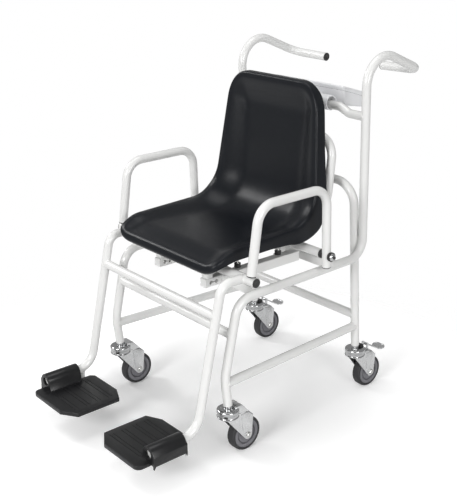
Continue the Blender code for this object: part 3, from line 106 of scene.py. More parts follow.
class Kind(Enum):
    """The kinds of socket that the shader node groups have."""

    VALUE = "NodeSocketFloat"
    COLOUR = "NodeSocketColor"


# Shader node groups

# A Mix node keeps one set of sockets for each data type. These are the ones for colours.
MIX_INPUTS = (0, 6, 7)
MIX_RESULT = 2


@dataclass
class Wiring:
    """Adds nodes to a tree and links them in one step."""

    tree: NodeTree

    def link(self, given: object, socket: NodeSocket) -> None:
        """Gives an input a value or another node's output, and leaves it as it is for None."""
        if isinstance(given, NodeSocket):
            self.tree.links.new(given, socket)
        elif given is not None:
            socket.default_value = given

    def feed(self, node: Node, inputs: dict[str, object]) -> None:
        """Gives each named input of a node a value or another node's output."""
        for title, given in inputs.items():
            self.link(given, node.inputs[title])

    def node(self, kind: str, *inputs: object, **settings: object) -> Node:
        """Adds a node.

        Args:
            kind: The node's Blender type.
            inputs: A value, a colour or a socket for each input in turn, or None.
            settings: Properties to set on the node before its inputs.

        Returns:
            The new node.
        """
        node = self.tree.nodes.new(kind)
        for key, value in settings.items():
            setattr(node, key, value)
        for socket, given in zip(node.inputs, inputs):
            self.link(given, socket)
        return node

    def maths(self, operation: str, *inputs: object) -> NodeSocket:
        """Returns the result of a Math node."""
        return self.node("ShaderNodeMath", *inputs, operation=operation).outputs[0]

    def ranged(
        self, value: NodeSocket, limits: Pair, goals: tuple[object, object], ease: str = "LINEAR"
    ) -> NodeSocket:
        """Returns a value moved from one range to another and kept within it."""
        node = self.node("ShaderNodeMapRange", value, *limits, *goals, interpolation_type=ease)
        return node.outputs[0]

    def blended(self, share: NodeSocket, first: object, second: object) -> NodeSocket:
        """Returns two colours mixed by a share."""
        node = self.node("ShaderNodeMix", data_type="RGBA")
        for index, given in zip(MIX_INPUTS, (share, first, second)):
            self.link(given, node.inputs[index])
        return node.outputs[MIX_RESULT]

    def scaled(self, vector: NodeSocket, factor: NodeSocket) -> NodeSocket:
        """Returns a vector or a colour times a factor."""
        node = self.node("ShaderNodeVectorMath", vector, None, None, factor, operation="SCALE")
        return node.outputs[0]

    def place(self, size: object, stretch: Triple = (1, 1, 1)) -> NodeSocket:
        """Returns the object's own coordinates, counted in steps of a size in metres."""
        spot = self.node("ShaderNodeTexCoord").outputs["Object"]
        spot = self.node("ShaderNodeVectorMath", spot, stretch, operation="MULTIPLY").outputs[0]
        return self.scaled(spot, self.maths("DIVIDE", 1.0, size))

    def noise(self, spot: NodeSocket, detail: float, rough: float = 0.5) -> NodeSocket:
        """Returns soft noise, from nought to one, at a place."""
        node = self.node("ShaderNodeTexNoise", spot)
        self.feed(node, {"Scale": 1.0, "Detail": detail, "Roughness": rough})
        return node.outputs["Fac"]


SocketPlan = tuple[str, Kind, object]


def effect_group(
    name: str,
    inputs: Iterable[SocketPlan],
    outputs: Iterable[SocketPlan],
    draw: Callable[[Wiring, Node, Node], None],
) -> NodeTree:
    """Builds a node group once, and returns it again when it is asked for later.

    Args:
        name: The group's name.
        inputs: The name, kind and default value of each input.
        outputs: The name, kind and default value of each output.
        draw: Fills the group, given its wiring, entry and exit.

    Returns:
        The node group.
    """
    if name in bpy.data.node_groups:
        return bpy.data.node_groups[name]
    group = bpy.data.node_groups.new(name, "ShaderNodeTree")
    for plans, way in ((inputs, "INPUT"), (outputs, "OUTPUT")):
        for title, kind, default in plans:
            socket = group.interface.new_socket(title, in_out=way, socket_type=kind.value)
            socket.default_value = default
    wiring = Wiring(group)
    draw(wiring, wiring.node("NodeGroupInput"), wiring.node("NodeGroupOutput"))
    return group


def draw_grain(wiring: Wiring, entry: Node, leave: Node) -> None:
    """Draws fine soft bumps, as in sprayed enamel or cast metal."""
    wiring.link(wiring.noise(wiring.place(entry.outputs["Size"]), 2.0), leave.inputs["Height"])


def draw_pebble(wiring: Wiring, entry: Node, leave: Node) -> None:
    """Draws the small rounded cells of a moulded leather-like grain."""
    spot = wiring.place(entry.outputs["Size"])
    drift = wiring.node("ShaderNodeTexNoise", spot)
    wiring.feed(drift, {"Scale": 0.6})
    shifted = wiring.node("ShaderNodeVectorMath", spot, drift.outputs["Color"], operation="ADD")
    cells = wiring.node("ShaderNodeTexVoronoi", shifted.outputs[0], feature="SMOOTH_F1")
    wiring.feed(cells, {"Scale": 1.0})
    dome = wiring.ranged(cells.outputs["Distance"], (0.0, 0.75), (1.0, 0.0))
    fine = wiring.noise(wiring.place(entry.outputs["Size"], (4, 4, 4)), 1.0)
    wiring.link(wiring.maths("MULTIPLY_ADD", fine, 0.25, dome), leave.inputs["Height"])


def draw_mottle(wiring: Wiring, entry: Node, leave: Node) -> None:
    """Draws the slow change of tone that keeps a surface from looking flat."""
    broad = wiring.noise(wiring.place(entry.outputs["Size"]), 5.0, 0.6)
    swing = wiring.ranged(broad, (0.3, 0.7), (-1.0, 1.0))
    factor = wiring.maths("MULTIPLY", swing, entry.outputs["Spread"])
    factor = wiring.maths("ADD", factor, 1.0)
    wiring.feed(leave, {"Colour": wiring.scaled(entry.outputs["Colour"], factor), "Swing": swing})


WEAR_SPOT = 0.006
WEAR_POINTED = (0.51, 0.60)
WEAR_PATCHES = (0.38, 0.62)
WEAR_LEAST = 0.15
DUST_SPOT = 0.02
DUST_FACING = (0.2, 0.9)
DUST_PATCHES = (0.4, 0.7)


def lay_over(wiring: Wiring, entry: Node, leave: Node, cover: Iterable[NodeSocket], layer: str) -> None:
    """Lays one of a group's colours over its first, where both covers and its amount let it."""
    mask = wiring.maths("MULTIPLY", wiring.maths("MULTIPLY", *cover), entry.outputs["Amount"])
    colour = wiring.blended(mask, entry.outputs["Colour"], entry.outputs[layer])
    wiring.feed(leave, {"Colour": colour, "Mask": mask})


def draw_wear(wiring: Wiring, entry: Node, leave: Node) -> None:
    """Draws rubbed edges, where the surface is pointed and the noise lets it."""
    pointed = wiring.node("ShaderNodeNewGeometry").outputs["Pointiness"]
    edge = wiring.ranged(pointed, WEAR_POINTED, (0.0, 1.0))
    patchy = wiring.ranged(wiring.noise(wiring.place(WEAR_SPOT), 4.0), WEAR_PATCHES, (WEAR_LEAST, 1.0))
    lay_over(wiring, entry, leave, (edge, patchy), "Worn")


def draw_dust(wiring: Wiring, entry: Node, leave: Node) -> None:
    """Draws the thin dust that settles on faces that look up."""
    normal = wiring.node("ShaderNodeNewGeometry").outputs["Normal"]
    up = wiring.node("ShaderNodeSeparateXYZ", normal).outputs["Z"]
    facing = wiring.ranged(up, DUST_FACING, (0.0, 1.0))
    cloud = wiring.ranged(wiring.noise(wiring.place(DUST_SPOT), 6.0, 0.65), DUST_PATCHES, (0.0, 1.0))
    lay_over(wiring, entry, leave, (facing, cloud), "Dust")


BLACK = (0.0, 0.0, 0.0, 1.0)
WHITE = (1.0, 1.0, 1.0, 1.0)
SIZE_SOCKET = ("Size", Kind.VALUE, 0.01)
COLOUR_SOCKET = ("Colour", Kind.COLOUR, BLACK)
AMOUNT_SOCKET = ("Amount", Kind.VALUE, 0.0)
MASK_SOCKET = ("Mask", Kind.VALUE, 0.0)
HEIGHT_SOCKET = ("Height", Kind.VALUE, 0.0)


class Effect(Enum):
    """The shader node groups that the finishes share."""

    GRAIN = ("fine_grain", (SIZE_SOCKET,), (HEIGHT_SOCKET,), draw_grain)
    PEBBLE = ("moulded_pebble", (SIZE_SOCKET,), (HEIGHT_SOCKET,), draw_pebble)
    MOTTLE = (
        "slow_mottle",
        (COLOUR_SOCKET, ("Spread", Kind.VALUE, 0.0), SIZE_SOCKET),
        (COLOUR_SOCKET, ("Swing", Kind.VALUE, 0.0)),
        draw_mottle,
    )
    WEAR = (
        "rubbed_edges",
        (COLOUR_SOCKET, ("Worn", Kind.COLOUR, BLACK), AMOUNT_SOCKET),
        (COLOUR_SOCKET, MASK_SOCKET),
        draw_wear,
    )
    DUST = (
        "settled_dust",
        (COLOUR_SOCKET, ("Dust", Kind.COLOUR, BLACK), AMOUNT_SOCKET),
        (COLOUR_SOCKET, MASK_SOCKET),
        draw_dust,
    )

    def add_to(self, wiring: Wiring, **inputs: object) -> Node:
        """Places this effect in a material.

        Args:
            wiring: The material's wiring.
            inputs: A value or a socket for each named input.

        Returns:
            The group node.
        """
        node = wiring.node("ShaderNodeGroup", node_tree=effect_group(*self.value))
        wiring.feed(node, inputs)
        return node


# Finishes

WEAR_ROUGHNESS = 0.15
DUST_COLOUR = (0.45, 0.44, 0.42, 1)

@dataclass(frozen=True)
class Finish:
    """One finish of the chair, with the detail of the real surface in metres."""

    name: str
    slot: str
    colour: Triple
    roughness: float
    metallic: float = 0.0
    coat: float = 0.0
    specular: float = 0.5
    spread: float = 0.02
    mottle_size: float = 0.05
    unevenness: float = 0.03
    effect: Effect = Effect.GRAIN
    grain_size: float = 0.002
    grain_depth: float = 0.00002
    worn: Triple = (0.5, 0.5, 0.5)
    wear: float = 0.0
    dust: float = 0.0

    def material(self) -> Material:
        """Returns this finish's material, made on first use."""
        if self.name in bpy.data.materials:
            return bpy.data.materials[self.name]
        material = bpy.data.materials.new(self.name)
        material.use_nodes = True
        material.diffuse_color = (*self.colour, 1)
        self.dress(Wiring(material.node_tree))
        return material

    def dress(self, wiring: Wiring) -> None:
        """Gives the material's shader the colour, roughness and bump of this finish."""
        tone = Effect.MOTTLE.add_to(
            wiring, Colour=(*self.colour, 1), Spread=self.spread, Size=self.mottle_size
        )
        colour = tone.outputs["Colour"]
        rough = wiring.maths("MULTIPLY_ADD", tone.outputs["Swing"], self.unevenness, self.roughness)
        if self.wear:
            rubbed = Effect.WEAR.add_to(wiring, Colour=colour, Worn=(*self.worn, 1), Amount=self.wear)
            colour = rubbed.outputs["Colour"]
            rough = wiring.maths("MULTIPLY_ADD", rubbed.outputs["Mask"], WEAR_ROUGHNESS, rough)
        if self.dust:
            settled = Effect.DUST.add_to(wiring, Colour=colour, Dust=DUST_COLOUR, Amount=self.dust)
            colour = settled.outputs["Colour"]
        bump = wiring.node("ShaderNodeBump")
        height = self.effect.add_to(wiring, Size=self.grain_size).outputs["Height"]
        wiring.feed(bump, {"Strength": 1.0, "Distance": self.grain_depth, "Height": height})
        wiring.feed(wiring.tree.nodes["Principled BSDF"], {
            "Metallic": self.metallic,
            "Coat Weight": self.coat,
            "Specular IOR Level": self.specular,
            "Base Color": colour,
            "Roughness": rough,
            "Normal": bump.outputs["Normal"],
        })


ENAMEL = Finish(
    "white_enamel", "white_frame", (0.80, 0.80, 0.79), 0.22, coat=0.2, spread=0.010,
    mottle_size=0.09, unevenness=0.01, grain_size=0.0040, grain_depth=0.000004,
)
WET_ENAMEL = Finish(
    "bright_enamel", "white_frame", (0.74, 0.74, 0.73), 0.07, coat=0.8, spread=0.02,
    mottle_size=0.03, unevenness=0.01, grain_size=0.006, grain_depth=0.00006,
)
SHELL = Finish(
    "pebbled_shell", "black_shell", (0.0065, 0.0078, 0.0106), 0.33, specular=0.24, spread=0.10,
    mottle_size=0.012, effect=Effect.PEBBLE, grain_size=0.0009, grain_depth=0.00007,
    worn=(0.02, 0.021, 0.023), wear=0.2,
)
TREAD_PLATE = Finish(
    "pebbled_plate", "black_shell", (0.0075, 0.0077, 0.0086), 0.31, specular=0.40, spread=0.08,
    mottle_size=0.010, unevenness=0.02, effect=Effect.PEBBLE, grain_size=0.0008, grain_depth=0.00002,
    worn=(0.04, 0.04, 0.04), wear=0.2,
)
PLASTIC = Finish(
    "black_plastic", "black_plastic", (0.008, 0.008, 0.009), 0.36, specular=0.14, spread=0.06,
    mottle_size=0.008, grain_size=0.0006, grain_depth=0.00002, worn=(0.07, 0.07, 0.07), wear=0.3,
)
RUBBER = Finish(
    "black_rubber", "black_rubber", (0.018, 0.018, 0.018), 0.72, spread=0.08,
    mottle_size=0.006, grain_size=0.0008, grain_depth=0.00003,
)
ZINC = Finish(
    "zinc_sheet", "zinc_steel", (0.72, 0.725, 0.73), 0.27, metallic=1.0, spread=0.015,
    mottle_size=0.03, unevenness=0.02, grain_size=0.0040, grain_depth=0.000003,
)
CHROME = Finish(
    "bright_zinc", "zinc_steel", (0.52, 0.525, 0.53), 0.19, metallic=1.0, spread=0.02,
    mottle_size=0.01, grain_size=0.002, grain_depth=0.00002,
)
ZINC_FASTENER = Finish(
    "zinc_fastener", "zinc_steel", (0.66, 0.66, 0.65), 0.22, metallic=1.0, spread=0.05,
    mottle_size=0.004, grain_size=0.0008, grain_depth=0.00001,
)
TYRE = Finish(
    "tyre_rubber", "castor_wheel", (0.022, 0.022, 0.024), 0.60, spread=0.12,
    mottle_size=0.006, grain_size=0.0009, grain_depth=0.00003, dust=0.06,
)
WHEEL_CORE = Finish(
    "wheel_core", "castor_wheel", (0.165, 0.163, 0.178), 0.42, spread=0.04,
    mottle_size=0.01, grain_size=0.0008, grain_depth=0.00002, worn=(0.2, 0.2, 0.21), wear=0.3,
)
CASE = Finish(
    "pale_case", "display_case", (0.86, 0.865, 0.88), 0.36, spread=0.012,
    mottle_size=0.03, effect=Effect.PEBBLE, grain_size=0.0007, grain_depth=0.00002,
)
PANEL = Finish(
    "panel_film", "display_case", (0.10, 0.12, 0.16), 0.33, spread=0.03,
    mottle_size=0.02, grain_size=0.0005, grain_depth=0.00001,
)
KEY = Finish(
    "key_rubber", "display_key", (0.16, 0.25, 0.42), 0.5, spread=0.03,
    mottle_size=0.006, grain_size=0.0005, grain_depth=0.00001, worn=(0.3, 0.4, 0.55), wear=0.3,
)
LCD = Finish(
    "lcd_window", "display_screen", (0.27, 0.33, 0.27), 0.12, coat=0.6, spread=0.03,
    mottle_size=0.02, grain_size=0.004, grain_depth=0.000005,
)
SEGMENT = Finish(
    "lcd_segment", "display_screen", (0.02, 0.025, 0.02), 0.2, spread=0.02,
    mottle_size=0.01, grain_size=0.002, grain_depth=0.000004,
)


# Meshes drawn with Blender's mesh operators


def rod(radius: float, low: float, high: float, bore: float = 0.0) -> list[Pair]:
    """Returns the outline that spins into a rod, or into a ring about a bore."""
    return [(bore, low), (radius, low), (radius, high), (bore, high)]


def arc(centre: Pair, radius: float, start: float, end: float, steps: int) -> list[Pair]:
    """Returns the points of an arc from one angle to another."""
    turns = [start + (end - start) * step / steps for step in range(steps + 1)]
    return [(centre[0] + radius * math.cos(turn), centre[1] + radius * math.sin(turn)) for turn in turns]


def both_halves(outline: Sequence[Pair]) -> list[Pair]:
    """Returns the upper half of an outline, followed by its mirror image."""
    return [*outline, *[(radius, -along) for radius, along in reversed(outline)]]


def moved(bm: BMesh, way: Sequence[float]) -> BMesh:
    """Moves a shape along a way and returns it."""
    bmesh.ops.translate(bm, verts=bm.verts, vec=way)
    return bm


def bevelled(bm: BMesh, geom: list, width: float, segments: int, affect: str = "EDGES") -> None:
    """Rounds some edges or corners of a shape."""
    bmesh.ops.bevel(
        bm, geom=geom, offset=width, segments=segments, profile=0.5, affect=affect,
        clamp_overlap=True, material=-1,
    )


def sliced(bm: BMesh, place: Vector, way: Vector) -> list[BMEdge]:
    """Cuts away what lies beyond a plane, closes the cut and returns its rim."""
    cut = bmesh.ops.bisect_plane(
        bm, geom=[*bm.verts, *bm.edges, *bm.faces], plane_co=place, plane_no=way, clear_outer=True,
    )["geom_cut"]
    rim = only(BMEdge, cut)
    bmesh.ops.edgeloop_fill(bm, edges=rim)
    return rim

def frame_of(way: Vector, place: Vector) -> Matrix:
    """Returns the matrix that stands a shape's own Z on a way at a place."""
    return Matrix.Translation(place) @ way.to_track_quat("Z", "Y").to_matrix().to_4x4()


def only(kind: type, parts: Iterable[object]) -> list:
    """Returns the parts of one kind, such as the edges of an operator's result."""
    return [part for part in parts if isinstance(part, kind)]


def run_on(bm: BMesh, edges: list[BMEdge], step: Vector) -> list[BMEdge]:
    """Draws a ring of edges out along a step, and returns the new ring."""
    made = bmesh.ops.extrude_edge_only(bm, edges=edges)["geom"]
    verts = only(BMVert, made)
    bmesh.ops.translate(bm, verts=verts, vec=step)
    new = set(verts)
    return [edge for edge in only(BMEdge, made) if set(edge.verts) <= new]


def tube(
    corners: Sequence[Sequence[float]],
    bends: Sequence[float],
    radius: float,
    closed: bool = False,
    sides: int = 32,
    mouths: tuple[bool, bool] = (False, False),
    wall: float = 0.002,
) -> BMesh:
    """Bends a round tube from straight runs and spun arcs.

    Args:
        corners: The corners of the tube's middle line before they are rounded.
        bends: The bend radius at each corner that is rounded.
        radius: The tube's outer radius.
        closed: Whether the tube runs back into its own start.
        sides: The number of sides of its section.
        mouths: Whether the start and the end are left open as a bored mouth.
        wall: The wall's thickness at such a mouth.

    Returns:
        The tube.
    """
    spots = [Vector(corner) for corner in corners]
    if closed:
        seam = (spots[0] + spots[-1]) / 2
        spots = [seam, *spots, seam]
    bm = bmesh.new()
    start = frame_of((spots[1] - spots[0]).normalized(), spots[0])
    bmesh.ops.create_circle(bm, cap_ends=False, radius=radius, segments=sides, matrix=start)
    first = bm.edges[:]
    edges, place = first, spots[0]
    for before, corner, after, bend in zip(spots, spots[1:], spots[2:], bends):
        into, out = (corner - before).normalized(), (after - corner).normalized()
        turn = into.angle(out)
        reach = into * (bend * math.tan(turn / 2))
        edges = run_on(bm, edges, corner - reach - place)
        axis = into.cross(out).normalized()
        steps = max(3, math.ceil(turn / BEND_STEP))
        ring = [*edges, *{vert for edge in edges for vert in edge.verts}]
        last = bmesh.ops.spin(
            bm, geom=ring, cent=corner - reach + axis.cross(into) * bend, axis=axis,
            angle=turn, steps=steps, use_merge=False, use_duplicate=False,
        )["geom_last"]
        edges = only(BMEdge, last)
        place = corner + out * reach.length
    edges = run_on(bm, edges, spots[-1] - place)
    if closed:
        bmesh.ops.remove_doubles(bm, verts=bm.verts, dist=WELD_DISTANCE)
        return bm
    ends = ((first, spots[1] - spots[0], mouths[0]), (edges, spots[-2] - spots[-1], mouths[1]))
    for ring, inward, mouth in ends:
        close_end(bm, ring, inward.normalized(), mouth, wall)
    return bm


def close_end(bm: BMesh, ring: list[BMEdge], inward: Vector, mouth: bool, wall: float) -> None:
    """Closes a tube's end with a flat face or with a bored mouth.

    Args:
        bm: The tube.
        ring: The edges of its end.
        inward: The way into the tube.
        mouth: Whether the end is bored.
        wall: The thickness that the bore leaves.
    """
    face = bmesh.ops.edgeloop_fill(bm, edges=ring)["faces"][0]
    if not mouth:
        return
    bmesh.ops.inset_region(bm, faces=[face], thickness=wall, use_even_offset=True)
    made = bmesh.ops.extrude_face_region(bm, geom=[face])["geom"]
    bmesh.ops.translate(bm, verts=only(BMVert, made), vec=inward * (MOUTH_DEPTH_IN_WALLS * wall))
    bmesh.ops.delete(bm, geom=[face], context="FACES")


def spun(
    profile: Sequence[Pair],
    way: Sequence[float],
    centre: Sequence[float],
    steps: int = 48,
    rounding: float = 0.0,
    segments: int = 2,
) -> BMesh:
    """Spins an outline of (radius, along) pairs about an axis.

    Args:
        profile: The outline, closed by the axis or by its own first point.
        way: The axis, along which the second number of each pair is measured.
        centre: The point on the axis from which it is measured.
        steps: The steps of the full turn.
        rounding: The width by which the outline's corners are rounded.
        segments: The segments of that rounding.

    Returns:
        The turned shape.
    """
    bm = bmesh.new()
    verts = [bm.verts.new((radius, 0, along)) for radius, along in profile]
    ring = list(zip(verts, verts[1:]))
    if profile[0][0] and profile[-1][0]:
        ring.append((verts[-1], verts[0]))
    for pair in ring:
        bm.edges.new(pair)
    if rounding:
        inner = [vert for vert in verts if vert.co.x > WELD_DISTANCE and len(vert.link_edges) == 2]
        bevelled(bm, inner, rounding, segments, affect="VERTICES")
    geom = [*bm.verts, *bm.edges]
    bmesh.ops.spin(bm, geom=geom, cent=(0, 0, 0), axis=(0, 0, 1), angle=math.tau, steps=steps, use_merge=True)
    bmesh.ops.remove_doubles(bm, verts=bm.verts, dist=WELD_DISTANCE)
    bmesh.ops.transform(bm, matrix=frame_of(Vector(way), Vector(centre)), verts=bm.verts)
    return bm


def plate(
    outline: Sequence[Triple],
    thickness: Sequence[float],
    rounding: float = 0.0,
    segments: int = 2,
) -> BMesh:
    """Raises a flat outline into a plate with rounded edges.

    Args:
        outline: The outline's corners in order.
        thickness: The way and distance that it is raised.
        rounding: The width by which its edges are rounded.
        segments: The segments of that rounding.

    Returns:
        The plate.
    """
    bm = bmesh.new()
    face = bm.faces.new([bm.verts.new(corner) for corner in outline])
    made = bmesh.ops.extrude_face_region(bm, geom=[face])["geom"]
    bmesh.ops.translate(bm, verts=only(BMVert, made), vec=thickness)
    soften(bm, rounding, segments)
    return bm


def soften(bm: BMesh, rounding: float, segments: int = 2) -> None:
    """Rounds every sharp edge of a shape."""
    if not rounding:
        return
    bmesh.ops.recalc_face_normals(bm, faces=bm.faces)
    sharp = [edge for edge in bm.edges if edge.calc_face_angle(0) > SHARP_ANGLE]
    bevelled(bm, sharp, rounding, segments)


def step_in(bm: BMesh, *steps: Pair) -> None:
    """Steps the top face of a flat shape in and down, by a (width, depth) pair each time."""
    top = max(bm.faces, key=lambda face: face.calc_center_median().z)
    for width, depth in steps:
        bmesh.ops.inset_region(bm, faces=[top], thickness=width, depth=depth, use_even_offset=True)


def block(low: Sequence[float], high: Sequence[float], rounding: float = 0.0, segments: int = 2) -> BMesh:
    """Returns a block between two corners, with rounded edges."""
    low, high = Vector(low), Vector(high)
    size = Matrix.Diagonal((*(high - low), 1))
    bm = bmesh.new()
    bmesh.ops.create_cube(bm, size=1.0, matrix=Matrix.Translation((low + high) / 2) @ size)
    soften(bm, rounding, segments)
    return bm


def mesh_of(bm: BMesh, name: str = "shape") -> Mesh:
    """Turns a shape into a mesh with its faces out, and frees it."""
    bmesh.ops.recalc_face_normals(bm, faces=bm.faces)
    mesh = bpy.data.meshes.new(name)
    bm.to_mesh(mesh)
    bm.free()
    return mesh
def in_scene(name: str, data: object) -> Object:
    """Puts a new object that holds a mesh, a lamp or a camera in the scene."""
    made = bpy.data.objects.new(name, data)
    bpy.context.scene.collection.objects.link(made)
    return made

def gathered(shapes: Iterable[BMesh]) -> BMesh:
    """Puts several shapes in one, each still closed in itself."""
    whole = bmesh.new()
    for shape in shapes:
        whole.from_mesh(mesh_of(shape))
    return whole


def carved(base: BMesh, cuts: Iterable[BMesh], joins: Iterable[BMesh] = ()) -> BMesh:
    """Joins shapes to a shape and cuts others out of it.

    Args:
        base: The shape that is worked on.
        cuts: The shapes that are cut out.
        joins: The shapes that are joined on first.

    Returns:
        The result.
    """
    body = in_scene("carving", mesh_of(base))
    helpers = [body]
    for operation, shapes in (("UNION", joins), ("DIFFERENCE", cuts)):
        for shape in shapes:
            helper = in_scene("cutter", mesh_of(shape))
            helpers.append(helper)
            modifier = body.modifiers.new(operation.lower(), "BOOLEAN")
            modifier.operation, modifier.solver, modifier.object = operation, "EXACT", helper
    graph = bpy.context.evaluated_depsgraph_get()
    bm = bmesh.new()
    bm.from_object(body, graph)
    for helper in helpers:
        bpy.data.objects.remove(helper)
    return bm


def piece(
    name: str,
    shape: BMesh,
    finish: Finish,
    body: str = "frame",
    replaces: Sequence[str] = (),
    sharp: float = SHARP_ANGLE,
) -> Object:
    """Finishes a shape as a piece of the chair.

    Args:
        name: The piece's name.
        shape: The shape, measured from under the castor stems.
        finish: The piece's finish.
        body: The body that it rides on.
        replaces: The solids that it stands for.
        sharp: The angle above which an edge is drawn sharp.

    Returns:
        The piece.
    """
    mesh = mesh_of(moved(shape, (0, DEPTH_SHIFT, 0)), name)
    mesh.materials.append(finish.material())
    mesh.shade_smooth()
    mesh.set_sharp_from_angle(angle=sharp)
    made = in_scene(name, mesh)
    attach(made, body)
    if replaces:
        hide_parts(*replaces)
    LOG.info("%s: %d faces, rides on %s", name, len(mesh.polygons), body)
    return made


def stand_in(name: str, form: str, shape: BMesh, finish: Finish, body: str = "frame") -> Object:
    """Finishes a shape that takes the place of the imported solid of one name."""
    return piece(f"{name}_{form}", shape, finish, body, (name,))


def repaint(node: Object, finish: Finish) -> None:
    """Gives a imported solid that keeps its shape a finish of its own."""
    node.data.materials.clear()
    node.data.materials.append(finish.material())
    LOG.info("%s: repainted as %s", node.name, finish.name)


# The welded frame


@dataclass(frozen=True)
class Route:
    """A tube's middle line: its corners, and the bend radius at each."""

    corners: tuple[Triple, ...]
    bends: tuple[float, ...] = ()

    def on(self, side: Side) -> list[Vector]:
        """Returns the corners on a side of the chair."""
        return [side.across(corner) for corner in self.corners]

    def way(self, first: int) -> Vector:
        """Returns the way along the straight run that starts at a corner."""
        return Vector(self.corners[first + 1]) - Vector(self.corners[first])

    def at_height(self, first: int, height: float) -> Vector:
        """Returns the place at a height on the straight run that starts at a corner."""
        low, high = Vector(self.corners[first]), Vector(self.corners[first + 1])
        return low.lerp(high, (height - low.z) / (high.z - low.z))


@dataclass(frozen=True)
class Tubing:
    """The round tube that the whole chair is bent and welded from."""

    radius: float = 0.0127
    bead: float = 0.0017
    bead_sides: int = 8
    bead_steps: int = 72
    ripple: float = 0.00012
    ripples: int = 26

    def bent(self, route: Route, side: Side, mouths: tuple[bool, bool] = (False, False)) -> BMesh:
        """Returns a route's tube on a side of the chair."""
        return tube(route.on(side), route.bends, self.radius, mouths=mouths)

    def straight(self, start: Sequence[float], end: Sequence[float]) -> BMesh:
        """Returns a straight tube between two places."""
        return tube([start, end], (), self.radius)

    def weld(self, end: Vector, way: Vector, host_way: Vector) -> BMesh:
        """Lays a weld bead where a tube is fitted to another of its size.

        Args:
            end: The place where the two middle lines meet.
            way: The way out along the fitted tube.
            host_way: The way along the tube that it is fitted to.

        Returns:
            The bead.
        """
        way, host_way = way.normalized(), host_way.normalized()
        across = way.orthogonal().normalized()
        rise = way.cross(across)
        bm = bmesh.new()
        start = frame_of(rise, end + across * self.radius)
        bmesh.ops.create_circle(
            bm, cap_ends=False, radius=self.bead, segments=self.bead_sides, matrix=start
        )
        bmesh.ops.spin(
            bm, geom=[*bm.verts, *bm.edges], cent=end, axis=way, angle=math.tau,
            steps=self.bead_steps, use_merge=True,
        )
        flat_way = way - host_way * way.dot(host_way)
        for vert in bm.verts:
            arm = vert.co - end
            turn = math.atan2(arm.dot(rise), arm.dot(across))
            spot = (across * math.cos(turn) + rise * math.sin(turn)) * self.radius
            flat = spot - host_way * spot.dot(host_way)
            inner = flat.dot(flat_way)
            room = inner**2 - flat_way.length_squared * (flat.length_squared - self.radius**2)
            along = (math.sqrt(max(room, 0.0)) - inner) / flat_way.length_squared
            wave = 1 + self.ripple / self.bead * math.sin(self.ripples * turn)
            vert.co = end + spot + (vert.co - end - spot) * wave + way * along
        return bm

    def cross_welds(self, ends: Iterable[Sequence[float]], host_way: Vector) -> list[BMesh]:
        """Returns the beads at the left and the right end of a tube across the chair."""
        return [
            self.weld(Vector(end), Vector((inward, 0, 0)), host_way) for end, inward in zip(ends, (-1, 1))
        ]


